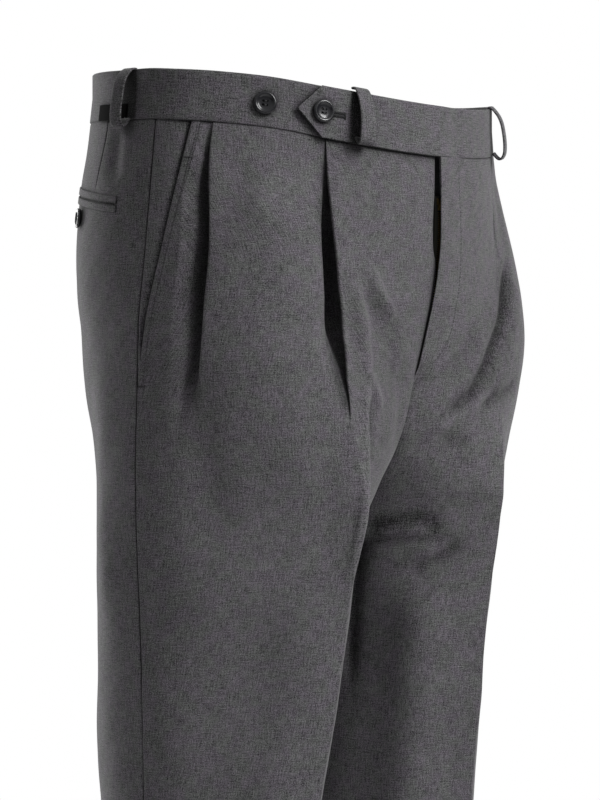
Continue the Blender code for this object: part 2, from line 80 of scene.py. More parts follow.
# Belt loops: (name, side, place along the waist, clearance over what lies on the band, top, lowest row)
LOOPS = [
    ("belt_loop_front_right", -1, 72.5, 2.3, 20.4, -18.9),
    ("belt_loop_side_right", -1, 243.0, 1.3, 17.9, -23.0),
    ("belt_loop_side_left", 1, 243.0, 0.0, 19.2, -21.5),
    ("belt_loop_front_left", 1, 101.0, 0.0, 18.9, -19.8),
    ("belt_loop_back", 1, None, 0.0, 19.4, -21.0),
]
# Middle line of a belt loop, as (distance out of the waistband's face, row)
LOOP_LINE = [
    (-2.0, 19.0), (0.2, 19.4), (1.6, 18.0), (4.2, 14.8), (6.8, 10.5), (8.8, 4.5), (9.9, -4.0),
    (10.0, -11.5), (9.2, -16.5), (6.6, -19.6), (3.6, -18.2), (1.15, -14.6),
]


# ---------------------------------------------------------------- tables and curves


def smooth_step(t):
    """0 up to t = 0 and 1 from t = 1, with a soft rise between them."""
    t = np.clip(t, 0.0, 1.0)
    return t * t * (3 - 2 * t)


class Table:
    """Smooth curves through the columns of a table whose first column is a height or a depth."""

    def __init__(self, *rows):
        rows = np.array(sorted(rows), float)
        self.stations, self.values = rows[:, 0], rows[:, 1:]
        gaps = np.diff(self.stations)[:, None]
        slopes = np.diff(self.values, axis=0) / gaps
        before, after = gaps[:-1], gaps[1:]
        inner = (slopes[:-1] * after + slopes[1:] * before) / (before + after)
        self.tangents = np.vstack([slopes[:1], inner, slopes[-1:]])

    def __call__(self, at):
        """All columns at one height, or at an array of them, clamped at the table's ends."""
        stations = self.stations
        at = np.clip(at, stations[0], stations[-1])
        i = np.clip(np.searchsorted(stations, at, side="right") - 1, 0, len(stations) - 2)
        gap = (stations[i + 1] - stations[i])[..., None]
        t = (at - stations[i])[..., None] / gap
        return (
            (1 + 2 * t) * (1 - t) ** 2 * self.values[i]
            + t * (1 - t) ** 2 * gap * self.tangents[i]
            + t * t * (3 - 2 * t) * self.values[i + 1]
            + t * t * (t - 1) * gap * self.tangents[i + 1]
        )


# Lines of the right half, as (z, x, y)
OUTSEAM = Table(
    (0, -166, -27), (-60, -172, -26), (-110, -177, -25), (-157, -180, -22), (-200, -180, -21),
    (-250, -177, -17), (-312, -172, -13), (-380, -163, -8), (-490, -152, -1), (-640, -148, 3),
    (-860, -150, 3), (-1085, -154, 3),
)
HIP_LINE = Table(
    (0, -136.5, -83.4), (-40, -139.6, -88.2), (-60, -142.7, -92.3), (-80, -144.8, -96.6),
    (-97, -146, -100.3), (-118, -147, -104), (-134, -147.3, -106.5), (-157, -147, -109),
    (-180, -147, -108), (-201, -146, -105), (-245, -139.2, -98), (-290, -130.8, -89.4),
    (-350, -126, -83.7), (-385, -122.3, -78.3), (-420, -121.2, -76), (-455, -121.4, -74.7),
    (-490, -121.3, -72.7), (-640, -117, -66), (-860, -120, -66), (-1085, -125, -66),
)
FRONT_CREASE = Table(
    (0, -95, -116), (-60, -94, -119), (-97, -93, -122), (-134, -91, -126), (-201, -88, -131),
    (-245, -84, -136), (-275, -81, -138.5), (-290, -81.3, -137.2), (-312, -82, -133.8),
    (-336, -82.3, -129), (-360, -82.2, -125.2), (-385, -83, -121.4), (-420, -85.2, -116.5),
    (-490, -88.5, -105.2), (-640, -92, -101.5), (-860, -96, -101), (-1085, -101, -100),
)
BACK_CREASE = Table(
    (0, -93, 97), (-40, -91.3, 104.6), (-60, -90.5, 110.2), (-84, -89.6, 114.4), (-110, -88.5, 116.2),
    (-135, -87, 115.8), (-160, -85.5, 112.8), (-200, -84, 110), (-245, -83, 99.6), (-312, -83, 96),
    (-380, -84, 95.2), (-455, -86, 95), (-500, -86.5, 91.2), (-640, -91, 92), (-860, -96, 95),
    (-1085, -101, 98),
)
CENTRE_FRONT = Table(
    (0, 0, -139), (-60, 0, -140), (-97, 0, -139), (-140, 0, -134), (-194, 0, -119.5), (-235, 0, -108),
    (-262, 0, -91.5), (-280, 0, -72), (-300, 0, -43), (-309, 0, -14), (-312, 0, 12),
)
CENTRE_BACK = Table(
    (0, 0, 121), (-60, 0, 127), (-110, 0, 128), (-160, 0, 121), (-200, 0, 110), (-240, 0, 92),
    (-275, 0, 68), (-298, 0, 42), (-309, 0, 24), (-312, 0, 12),
)
INSEAM = Table(
    (-312, 0, 12), (-317, -3.5, 11), (-326, -7, 10), (-345, -11.5, 8), (-380, -17, 5),
    (-490, -25, -2), (-640, -34, -4), (-860, -43, -3), (-1085, -51, -2),
)
# Headings in degrees, as (z, at the centre front, into the crease, out of it, at the hip line, at the
# outseam, into the back crease, out of it, at the centre back)
HEADINGS = Table(
    (0, 0, 28, 28, 47, 88, 152, 152, 180),
    (-60, 0, 26, 24, 47, 88, 152, 154, 180),
    (-97, -2, 20, 12, 44, 88, 152, 156, 181),
    (-134, -5, 16, 8, 42, 88, 151, 158, 184),
    (-157, -8, 12, 8, 42, 89, 150, 160, 188),
    (-201, -18, 4, 14, 42, 90, 149, 164, 198),
    (-245, -34, -8, 24, 44, 90, 148, 172, 214),
    (-275, -52, -25, 30, 45, 90, 149, 179, 230),
    (-290, -65, -37, 32, 46, 90, 150, 182, 240),
    (-312, -90, -35, 34, 47, 90, 152, 186, 270),
    (-380, -90, -31, 34, 48, 90, 156, 192, 270),
    (-490, -90, -31, 32, 50, 90, 158, 198, 270),
    (-640, -90, -31, 30, 52, 90, 155, 204, 270),
    (-1085, -90, -30, 29, 52, 90, 152, 207, 270),
)
# (y, height added): the waist is higher at the back
WAIST_LIFT = Table(
    (-139, -20.5), (-130, -17.5), (-115, -13.1), (-97, -8.4), (-70, -4.4), (-39, -1.6), (-22, -0.1),
    (5, 0.9), (35, 3.0), (79, 6.3), (128, 9.5),
)
LIFT_ENDS_Z = -150.0

# Pleats, as (z, overlap, step between layers, open mouth, width, evened out from 0 to 1)
RIGHT_PLEAT = Table(
    (-18, 18, 0.5, 0, 22, 0), (-34, 13, 1.4, 1.0, 22, 0), (-50, 10, 3.0, 3.6, 21, 0),
    (-70, 8, 6.0, 6.0, 20, 0), (-95, 8, 12.0, 7.6, 20, 0), (-125, 8, 13.5, 9.6, 21, 0),
    (-140, 7, 12.5, 10.6, 22, 0), (-157, 5, 9.5, 10.4, 23, 0), (-175, 3, 6.0, 9.4, 22, 0),
    (-192, 1.5, 3.0, 8.4, 19, 0), (-206, 0.6, 1.5, 7.0, 16, 0), (-218, 0, 0.7, 5.0, 15, 0),
    (-232, 0, 0.2, 3.0, 16, 0.6), (-262, 0, 0, 2, 20, 1),
)
# Where the edge of the right front's pleat runs, past the crease
RIGHT_PLEAT_PLACE = Table(
    (-18, 0), (-70, -1.2), (-95, -1.5), (-113, -1.2), (-134, -0.4), (-155, -1.0), (-165, -0.8),
    (-175, -1.8), (-191, -1.2), (-209, -0.4), (-224, 1.4), (-262, 0),
)
LEFT_PLEAT = Table(
    (-18, 18, 0.5, 0, 22, 0), (-34, 12, 1.3, 1.0, 22, 0), (-50, 6, 1.8, 3, 21, 0),
    (-70, 2, 1.2, 5.5, 20, 0), (-95, 0.5, 0.5, 7, 20, 0.1), (-125, 0, 0.15, 8.5, 21, 0.5),
    (-157, 0, 0.1, 10.5, 24, 0.8), (-190, 0, 0, 13, 28, 1), (-262, 0, 0, 14, 30, 1),
)
SIDE_PLEAT = Table(
    (-18, 15, 0.5, 0, 11, 0), (-34, 11, 2.2, 2.0, 12, 0), (-50, 8, 5.0, 6.0, 16, 0),
    (-70, 6, 8.0, 9.0, 19, 0), (-95, 6, 9.5, 9.4, 20, 0), (-125, 6, 10.0, 11.5, 22, 0),
    (-157, 4, 8.0, 10.5, 22, 0), (-180, 2, 6.0, 9.8, 22, 0.1), (-200, 0.6, 3.4, 9, 23, 0.4),
    (-215, 0, 1.6, 10, 24, 0.8), (-240, 0, 0.3, 12, 25, 1), (-262, 0, 0, 14, 25, 1),
)
FOLDED_EDGE = 2.6      # how thick the cloth is where it is folded over at a pleat's edge
# Where the fly's edges run, as (z, edge of the left front, turn of the right front beneath it)
FLY = Table(
    (-18, 1.0, 0.4), (-40, 1.0, 1.4), (-83, 0.9, 2.9), (-96, 0.8, 1.6), (-107, 0.5, -1.6),
    (-140, -0.8, -2.8), (-170, -1.4, -3.4), (-190, -1.0, -3.0), (-200, 0.0, 0.0),
)
SIDE_PLEAT_PLACE = Table((-18, 78), (-47, 83), (-108, 93), (-149, 103), (-187, 107), (-240, 108))
SIDE_PLEAT_ENDS_Z = -240.0
SIDE_PLEAT_SHARE = 0.68
POCKET_MOUTH = Table((-18, 28), (-77, 19), (-146, 8.5), (POCKET_END_Z, 0))
# Where the back dart lies behind the outseam, and how deep its seam is: (z, place, depth)
BACK_DART = Table((-18, 54.0, 0.9), (-24, 54.6, 0.9), (-55, 62.5, 0.7), (-70, 66.0, 0.0), (-90, 66.0, 0.0))

# Stretches of path that two of the fronts' folds share
LEG_TOP_EDGE = [
    (-91, -300), (-83, -297), (-75, -295), (-68, -294), (-60, -294), (-53, -297), (-49, -304), (-43, -311),
]
LEG_FRONT = [(32, -640), (30, -860), (30, -1080)]
# Folds of the fronts, as (side, height of the fold, half width, faded at its start, at its end,
# [(place past the crease, z), ...]); side 0 is both
FRONT_FOLDS = [
    # right front: the ridge that leaves the front pleat, and the one that joins the crease
    (-1, 3.0, 3.2, 14, 10, [(-28, -108), (-29, -119), (-32, -128), (-37, -137), (-42, -144), (-47, -150),
                            (-51, -156)]),
    (-1, 3.4, 3.6, 14, 12, [(-13, -126), (-14, -138), (-16, -146), (-18, -155), (-19, -168), (-21, -180),
                            (-22, -190), (-27, -199), (-32, -208), (-36, -220)]),
    (-1, 4.2, 2.9, 10, 60, [(-23, -198), (-17, -207), (-13, -218), (-11, -230), (-9, -244), (-5, -262),
                            (-2, -280), (0, -310), (0, -350)]),
    (-1, -2.0, 6.5, 20, 70, [(-21, -124), (-27, -139), (-36, -153), (-46, -164), (-52, -176), (-53, -193),
                             (-50, -214), (-46, -240)]),
    (-1, -1.8, 3.6, 12, 30, [(-27, -207), (-24, -216), (-21, -230), (-18, -248), (-14, -262)]),
    (-1, -0.6, 4.0, 12, 20, [(-6, -124), (-8, -141), (-10, -158), (-13, -180)]),
    # left front: the hollow beside its pleat, the long fold down to the fork, and those beside it
    (1, -1.5, 7.0, 20, 20, [(23, -26), (22, -60), (20, -100)]),
    (1, -4.5, 4.6, 34, 26, [(25, -90), (23, -100), (18, -115), (13, -131), (9, -144), (4, -155),
                            (-4, -165), (-12, -175), (-18, -185), (-25, -194), (-32, -204), (-43, -213),
                            (-53, -220), (-63, -228)]),
    (1, -1.5, 7.0, 26, 26, [(-28, -148), (-40, -167), (-49, -181), (-56, -194), (-64, -205)]),
    (1, 3.4, 3.4, 18, 20, [(-72, -238), (-64, -233), (-56, -227), (-48, -221), (-35, -214), (-24, -208),
                           (-10, -202)]),
    (1, -2.6, 3.2, 14, 16, [(38, -193), (24, -199), (10, -203), (-7, -207), (-20, -212), (-32, -219)]),
    (1, -1.6, 6.5, 14, 20, [(-66, -242), (-52, -238), (-42, -246), (-36, -262)]),
    (1, 2.0, 9.0, 24, 24, [(40, -112), (32, -130), (22, -150), (10, -168)]),
    # left front at the top of the leg: a hollow with a rolled edge round it
    (1, -1.7, 4.2, 12, 10, [(-100, -308), *LEG_TOP_EDGE]),
    (1, -2.4, 3.6, 8, 14, [(-28, -312), (-36, -320), (-44, -325), (-52, -328), (-57, -333), (-64, -341)]),
    (1, 2.8, 9.0, 14, 14, [(-100, -317), (-80, -315), (-62, -315), (-42, -318)]),
    (1, -4.0, 3.0, 14, 40, [(-103, -304), (-102, -320), (-101, -340), (-100, -365), (-99, -395),
                            (-98, -430)]),
    (1, -1.7, 12.0, 20, 40, [(-1, -276), (-2, -312), (-2, -360), (-2, -400), (-2, -430)]),
    # the same sorts of fold where the other half hides them
    (-1, -2.9, 8.0, 24, 24, [(-60, -176), (-66, -200), (-74, -226), (-82, -250)]),
    (-1, -3.2, 6.0, 14, 14, [(-88, -296), (-72, -292), (-60, -298), (-50, -310)]),
    (1, 0.5, 6.0, 26, 40, [(-12, -260), (-8, -275), (-4, -290), (-1, -315), (0, -350)]),
    # the front of each leg stands out a little beside its crease
    (-1, 3.5, 15.0, 90, 60, [(34, -300), (33, -420), *LEG_FRONT]),
    (1, 3.5, 15.0, 90, 60, [(34, -396), (33, -450), *LEG_FRONT]),
    # left leg: its inner half turns away into the shade of the right one
    (1, 9.0, 15.0, 50, 80, [(-46, -330), (-50, -360), (-50, -430), (-48, -520), (-44, -700)]),
    (0, -1.6, 16.0, 90, 60, [(84, -330), (80, -460), (74, -640), (70, -860), (70, -1080)]),
    # hip and thigh
    (-1, -2.0, 9.0, 26, 26, [(50, -34), (62, -52), (74, -74), (82, -100)]),
    (-1, 1.6, 9.0, 26, 26, [(36, -50), (48, -76), (58, -104)]),
    (1, -1.8, 9.0, 26, 26, [(46, -40), (58, -62), (70, -88)]),
    (-1, -2.7, 10.0, 40, 60, [(22, -205), (24, -240), (22, -290), (18, -340)]),
    (1, -2.0, 10.0, 40, 60, [(24, -215), (26, -250), (22, -300), (18, -350)]),
    (-1, -2.2, 9.0, 30, 60, [(112, -180), (108, -220), (104, -270), (98, -330)]),
    (1, -2.2, 9.0, 30, 60, [(112, -186), (108, -226), (104, -270), (98, -330)]),
]
# Painted shade (below 0) and painted light (above 0) on the fronts' cloth: where a fold shades or lights
# it, and over broad areas; in the folds' columns
FRONT_SHADES = [
    (1, -3.0, 4.4, 12, 10, [(-100, -306), *LEG_TOP_EDGE]),
    (1, 3.4, 4.0, 10, 14, [(-97, -315), (-80, -315), (-60, -314)]),
    (1, -1.5, 7.0, 10, 10, [(-98, -304), (-80, -303), (-64, -304), (-54, -309)]),
    (1, -1.2, 5.0, 14, 30, [(-66, -334), (-64, -354), (-62, -374), (-60, -400)]),
    (1, -2.2, 15.0, 20, 30, [(16, -100), (8, -150), (-2, -190), (-8, -225)]),
    (-1, -1.4, 14.0, 30, 60, [(-44, -212), (-46, -240), (-40, -270), (-50, -340)]),
    (-1, -0.9, 24.0, 30, 40, [(54, -60), (60, -120), (64, -170)]),
    (-1, -2.0, 7.0, 14, 30, [(92, -40), (97, -70), (104, -105), (112, -140), (116, -170)]),
    (-1, -6.0, 3.2, 14, 30, [(4, -56), (5, -95), (6, -125), (6, -155), (5, -175)]),
    (-1, -4.0, 3.8, 14, 16, [(12, -158), (11, -171), (8, -184), (6, -197), (4.4, -210), (3.4, -222)]),
    (-1, 2.4, 26.0, 60, 80, [(60, -250), (60, -340), (60, -430), (58, -520)]),
    (-1, -1.2, 9.0, 20, 30, [(134, -40), (142, -70), (148, -110)]),
]
# Painted shade and light on the backs in the same way: shadow in the pocket slits, light on the right
# back, shade beside its outseam
BACK_SHADES = [
    (0, -8.0, 1.5, 2, 3, [(33, -75.4), (96, -69.4), (160, -63.3)]),
    (-1, 4.4, 30.0, 40, 60, [(35, -120), (38, -180), (40, -260), (42, -330)]),
    (-1, -1.2, 9.0, 20, 30, [(8, -40), (7, -70), (4, -110)]),
]
# Painted shade in narrow folds' troughs and painted light on their ridges come from folds up to this width
CRISP_WIDTH = 7.0      # folds up to this half width also shade the cloth a little
# Folds of the backs, with places behind the outseam
BACK_FOLDS = [
    (-1, -1.6, 6.0, 14, 16, [(38, -20), (39, -48), (41, -64)]),
    (-1, 0.9, 6.0, 14, 16, [(27, -22), (26, -48), (26, -66)]),
    (1, -2.0, 5.0, 12, 16, [(40, -20), (40, -44), (42, -64)]),
    (1, 1.6, 5.0, 12, 16, [(32, -22), (30, -46), (29, -66)]),
    (0, -2.9, 12.0, 40, 40, [(150, -250), (190, -262), (225, -290)]),
    (0, 2.5, 12.0, 40, 40, [(140, -275), (180, -288), (220, -315)]),
    (-1, -2.3, 10.0, 30, 60, [(120, -290), (150, -315), (190, -340)]),
    (1, -2.3, 10.0, 30, 60, [(112, -300), (150, -322), (186, -352)]),
    (0, 1.8, 12.0, 50, 80, [(40, -180), (44, -240), (42, -320), (38, -400)]),
]


# ---------------------------------------------------------------- the worn body


def heading_vector(degrees):
    """Unit vector of a heading: 0 is outwards, 90 backwards and 180 back inwards."""
    angle = math.radians(degrees)
    return np.array([-math.cos(angle), math.sin(angle)])


def arc(start, end, heading_out, heading_in, count):
    """Bezier arc whose handles are as long as those of a circle turning by the same angle."""
    turn = math.radians(min(150.0, abs(heading_in - heading_out)))
    reach = 1 / 3 if turn < 0.01 else (4 / 3 * math.tan(turn / 4)) / (2 * math.sin(turn / 2))
    handle = np.linalg.norm(end - start) * reach
    first = start + heading_vector(heading_out) * handle
    last = end - heading_vector(heading_in) * handle
    t = np.linspace(0, 1, count)[:, None]
    return (1 - t) ** 3 * start + 3 * t * (1 - t) ** 2 * first + 3 * t * t * (1 - t) * last + t**3 * end


class Section:
    """The right half of the body at one height, from the centre front (or inseam) round to the back.

    A place on it is its distance in mm along the cloth; `crease`, `outseam` and `end` are such places.
    """

    ARC_POINTS = 61

    def __init__(self, z):
        heading = HEADINGS(z)
        front = (CENTRE_FRONT if z > FORK_Z else INSEAM)(z)
        back = (CENTRE_BACK if z > FORK_Z else INSEAM)(z)
        front[0] -= (SEAM_GAP + CLOTH * abs(math.sin(math.radians(heading[0])))) / 2
        back[0] -= (SEAM_GAP + CLOTH * abs(math.sin(math.radians(heading[7])))) / 2
        stops = [front, FRONT_CREASE(z), HIP_LINE(z), OUTSEAM(z), BACK_CREASE(z), back]
        turns = [heading[[0, 1]], heading[[2, 3]], heading[[3, 4]], heading[[4, 5]], heading[[6, 7]]]
        arcs = [
            arc(stops[i], stops[i + 1], *turns[i], self.ARC_POINTS)[(1 if i else 0):] for i in range(5)
        ]
        self.z = z
        self.points = np.vstack(arcs)
        steps = np.linalg.norm(np.diff(self.points, axis=0), axis=1)
        self.along = np.concatenate([[0.0], np.cumsum(steps)])
        last = self.ARC_POINTS - 1
        self.crease, self.outseam = self.along[last], self.along[3 * last]
        self.end = self.along[-1]

    def point(self, places):
        return np.stack([np.interp(places, self.along, self.points[:, k]) for k in (0, 1)], axis=-1)

    def at(self, places, outs):
        """(points, the same points moved out); places below 0 or past the end are on the other half."""
        places = np.asarray(places, float)
        above_fork = self.z > FORK_Z
        past_front, past_back = (places < 0) & above_fork, (places > self.end) & above_fork
        spots = np.where(past_front, -places, np.where(past_back, 2 * self.end - places, places))
        spots = np.clip(spots, 0, self.end)
        reach = 2.0
        low, high = np.clip(spots - reach, 0, self.end), np.clip(spots + reach, 0, self.end)
        tangent = self.point(high) - self.point(low)
        tangent /= np.linalg.norm(tangent, axis=-1, keepdims=True)
        outward = np.stack([-tangent[..., 1], tangent[..., 0]], axis=-1)
        base = self.point(spots)
        moved = base + outward * np.asarray(outs, float)[..., None]
        mirror = np.where(past_front | past_back, -1.0, 1.0)
        moved[..., 0] *= mirror
        return base, moved


@functools.lru_cache(maxsize=None)
def section(z):
    return Section(z)


def lift(y, z):
    """How much higher the cloth lies than its row, so that the waist dips to the front."""
    fade = 1 - smooth_step((z + BAND_HEIGHT / 2) / (LIFT_ENDS_Z + BAND_HEIGHT / 2))
    return WAIST_LIFT(y)[..., 0] * fade


def on_body(z, places, outs, side, heights=None):
    """Points in metres at row z, moved out by outs.  heights are the rows used for the height alone."""
    here = section(round(float(z), 3))
    places, outs = np.broadcast_arrays(np.asarray(places, float), np.asarray(outs, float))
    base, moved = here.at(places, outs)
    height = z if heights is None else heights
    tall = lift(base[..., 1], z) + height
    return np.stack([moved[..., 0] * -side, moved[..., 1], tall + 0 * moved[..., 0]], axis=-1) * MM


def on_band(row, places, outs, side):
    """Points on the waistband; places are counted along the waist itself."""
    share = section(round(float(row), 3)).end / section(0.0).end
    return on_body(row, np.asarray(places, float) * share, outs, side)


# ---------------------------------------------------------------- folds


def smooth_path(points, steps=8):
    """Catmull-Rom curve through the points of a fold's path."""
    points = np.array(points, float)
    ends = np.vstack([2 * points[0] - points[1], points, 2 * points[-1] - points[-2]])
    t = np.linspace(0, 1, steps, endpoint=False)[:, None]
    pieces = []
    for i in range(1, len(ends) - 2):
        a, b, c, d = ends[i - 1:i + 3]
        square, cube = 2 * a - 5 * b + 4 * c - d, 3 * b - a - 3 * c + d
        pieces.append(0.5 * (2 * b + (c - a) * t + square * t**2 + cube * t**3))
    return np.vstack(pieces + [points[-1:]])


def fold_relief(folds, side, across, heights, widest=99.0):
    """How far the folds of one side push the cloth out, at arrays of places and heights."""
    relief = np.zeros(across.shape)
    for fold_side, height, width, fade_in, fade_out, path in folds:
        if fold_side not in (0, side) or width > widest:
            continue
        line = smooth_path(path)
        low, high = line.min(axis=0) - 3 * width, line.max(axis=0) + 3 * width
        near = (across > low[0]) & (across < high[0]) & (heights > low[1]) & (heights < high[1])
        spots = np.stack([across[near], heights[near]], axis=-1)[:, None, :]
        start, step = line[:-1], np.diff(line, axis=0)
        length = np.linalg.norm(step, axis=1)
        t = np.clip(((spots - start) * step).sum(axis=-1) / length**2, 0, 1)
        distance = np.linalg.norm(spots - (start + t[..., None] * step), axis=-1)
        nearest = distance.argmin(axis=1)
        chosen = np.arange(len(nearest)), nearest
        along = (np.concatenate([[0.0], np.cumsum(length)])[:-1])[nearest] + t[chosen] * length[nearest]
        strength = smooth_step(along / fade_in) * smooth_step((length.sum() - along) / fade_out)
        relief[near] += height * strength * np.exp(-0.5 * (distance[chosen] / width) ** 2)
    return relief


def undulation(side, across, heights, seed):
    """Gentle unevenness of hanging cloth, a few tenths of a millimetre."""
    u, v = across / 1000, heights / 1000
    phase = seed + (0.7 if side > 0 else 2.1)
    waves = (
        0.30 * np.sin(2 * np.pi * (9 * u + 3.1 * v) + phase)
        + 0.24 * np.sin(2 * np.pi * (-6 * u + 6.3 * v) + 1.7 * phase)
        + 0.16 * np.sin(2 * np.pi * (17 * u - 8.5 * v) + 2.9 * phase)
        + 0.10 * np.sin(2 * np.pi * (26 * u + 21 * v) + 4.3 * phase)
    )
    return waves * smooth_step((-20 - heights) / 60)


# ---------------------------------------------------------------- meshes


def add_mesh(name, points, faces, cloth=None):
    """Mesh object; cloth gives each point's place on the flat cloth in mm, and its painted shade and
    light.
    """
    mesh = bpy.data.meshes.new(name)
    mesh.from_pydata(points.reshape(-1, 3), [], faces)
    if cloth is not None:
        weave_and_shade = mesh.attributes.new("cloth", "FLOAT_VECTOR", "POINT")
        flat = np.zeros((len(mesh.vertices), 3), np.float32)
        flat[:, :cloth.shape[-1]] = cloth.reshape(-1, cloth.shape[-1])
        weave_and_shade.data.foreach_set("vector", flat.ravel())
    mesh.shade_smooth()
    mesh.update()
    thing = bpy.data.objects.new(name, mesh)
    bpy.context.scene.collection.objects.link(thing)
    return thing


def grid_faces(rows, columns, flip=False, wrap=False):
    """Quads of a grid of points; wrap joins the last column to the first."""
    corners = np.arange(rows * columns).reshape(rows, columns)
    after = np.roll(corners, -1, axis=1)
    if not wrap:
        corners, after = corners[:, :-1], after[:, :-1]
    quads = np.stack([corners[:-1], after[:-1], after[1:], corners[1:]], axis=-1).reshape(-1, 4)
    return (quads[:, ::-1] if flip else quads).tolist()


def add_grid(name, points, cloth, flip):
    """Open sheet through a grid of points."""
    rows, columns = points.shape[:2]
    return add_mesh(name, points, grid_faces(rows, columns, flip), cloth)


def add_tube(name, rings, cloth=None, flip=False):
    """Closed strip or cord through rings of points, with its two ends closed."""
    count, around = rings.shape[:2]
    faces = grid_faces(count, around, flip, wrap=True)
    first, last = list(range(around)), list(range((count - 1) * around, count * around))
    faces += [first if flip else first[::-1], last[::-1] if flip else last]
    return add_mesh(name, rings, faces, cloth)


def bspline_weights(counts):
    """Weights of a quadratic B-spline's samples; counts are the steps round each inner corner."""
    corners = len(counts) + 2
    rows = []
    for k, count in enumerate(counts, start=1):
        for t in np.linspace(0, 1, count, endpoint=False):
            weights = np.zeros(corners)
            share = (1 - t) ** 2
            weights[k - 1] += share * (1.0 if k == 1 else 0.5)
            weights[k] += share * (0.0 if k == 1 else 0.5)
            weights[k] += 2 * t * (1 - t)
            share = t * t
            last = k == corners - 2
            weights[k] += share * (0.0 if last else 0.5)
            weights[k + 1] += share * (1.0 if last else 0.5)
            rows.append(weights)
    rows.append(np.eye(corners)[-1])
    return np.array(rows)


# ---------------------------------------------------------------- panels

# Rows of the panels: fine where the folds are, coarser down the legs
PANEL_ROWS = np.concatenate([
    np.array([-16.6, -17.6, -18.2, -18.8, -19.4, -20.2, -21.2]),
    np.arange(-22.5, -350.0, -2.0),
    np.arange(-350.5, -530.0, -3.0),
    np.arange(-532.0, HEM_Z + 4, -9.0),
    np.array([HEM_Z + 3, HEM_Z + 1.2, HEM_Z + 0.3]),
])
HEM_TURN = [(0.0, -0.6), (0.3, -1.1), (1.5, -1.6), (8.0, -1.8), (20.0, -1.9), (38.0, -1.9)]


def top_tuck(z):
    """How far a panel's top dips in, to pass behind the waistband's lower edge."""
    return -0.45 * (1 - smooth_step((-17.6 - z) / 1.2))


def edge_forms(place, inward, rolled, valley=1.0):
    """Corners (place, out) of a panel's side edge: sewn into a seam, or rolled over where it is free."""
    depths = [(0.0, -1.7), (0.0, -1.3), (0.1, -0.7), (0.8, -0.15), (3.0, 0.0)]
    seam = [(inwards, depth * valley) for inwards, depth in depths]
    roll = [(7.0, -1.4), (1.5, -1.4), (-0.4, -1.1), (-0.4, 0.0), (2.4, 0.0)]
    corners = [
        (place + inward * (a[0] + (b[0] - a[0]) * rolled), a[1] + (b[1] - a[1]) * rolled)
        for a, b in zip(seam, roll)
    ]
    return corners if inward > 0 else corners[::-1]


def side_pleat_place(z):
    """Where the side pleat's edge runs; it fades out towards the middle of the leg."""
    here = section(z)
    if z >= SIDE_PLEAT_ENDS_Z:
        return here.crease + SIDE_PLEAT_PLACE(z)[0]
    eased = smooth_step((SIDE_PLEAT_ENDS_Z - z) / 120)
    reach = here.outseam - here.crease
    lowest = SIDE_PLEAT_PLACE(SIDE_PLEAT_ENDS_Z)[0]
    return here.crease + (1 - eased) * lowest + eased * SIDE_PLEAT_SHARE * reach


def front_edge_place(z):
    """Where the front panel ends: at the slanted pocket mouth, and below it at the outseam."""
    return section(z).outseam - SEAM_GAP / 2 - max(0.0, POCKET_MOUTH(z)[0])


def pleat_profile(table, z, shoulder):
    """Corners (along, out) of one pleat's fold, from its edge round under itself to the next panel.

    shoulder says how high the far side of the open mouth comes up before it eases out to the panel.
    """
    overlap, step, mouth, width, evened = np.maximum(table(z), 0)
    turn = min(step / 2, 1.0)
    opened = smooth_step(mouth / 6)
    lower_layer = -2 * step
    lip = min(step, FOLDED_EDGE)
    folded = [
        (0.0, 0.0),
        (turn, -0.5 * lip),
        (0.2 * turn, -lip),
        (-overlap, -lip - 0.1 * step),
        (-overlap - turn, -lip / 2 - step),
        (-overlap + 0.3 * mouth, lower_layer),
        (0.75 * mouth, lower_layer * (1 - 0.15 * opened)),
        ((1 - opened) * width / 2 + opened * mouth, lower_layer * (0.5 - shoulder * opened)),
        (width, 0.0),
    ]
    count = len(folded) - 1
    return [
        ((1 - evened) * along + evened * width * i / count, out)
        for i, (along, out) in enumerate(folded)
    ]


def fly_corners(z, side):
    """Corners near the centre front: the left front laps over, the right one turns in beneath it."""
    if z <= FORK_Z:
        return edge_forms(SEAM_GAP / 2, 1, 0.0) + [(8.0, 0.0), (16.0, 0.0), (24.0, 0.0), (34.0, 0.0)]
    left_edge, turn = FLY(z)
    if side > 0:
        raised = 3.0 * smooth_step((z - FLY_END_Z) / 14)
        valley = 0.25 + 0.75 * smooth_step((z - FLY_END_Z) / 8)
        edge = edge_forms(left_edge - 0.12 * (1 - valley), 1, smooth_step((z - FLY_END_Z) / 6), valley)
        edge = [(place, out + raised) for place, out in edge]
        easing = [(8.0, 0.85), (16.0, 0.6), (24.0, 0.35), (34.0, 0.1)]
        return edge + [(inwards, share * raised) for inwards, share in easing]
    lapped = smooth_step((z - FLY_END_Z - 3) / 14)
    depth = 5.2 * smooth_step((z - FLY_END_Z - 3) / 40)
    edge = edge_forms(-11.0 * lapped, 1, 0.0, 0.25 + 0.75 * lapped)
    edge = [(place, out - depth) for place, out in edge]
    turn = max(turn, 6.2 - 11.0 * lapped)
    return edge + [(turn - 2.4, -0.96 * depth), (turn - 0.4, -0.65 * depth), (turn + 0.7, -0.06 * depth),
                   (turn + 6.0, 0.0)]


def run_to(corners, stop, count):
    """The same corners, carried on along the cloth's face in equal steps to a place."""
    start = corners[-1][0]
    return corners + [(start + (stop - start) * k / count, 0.0) for k in range(1, count + 1)]


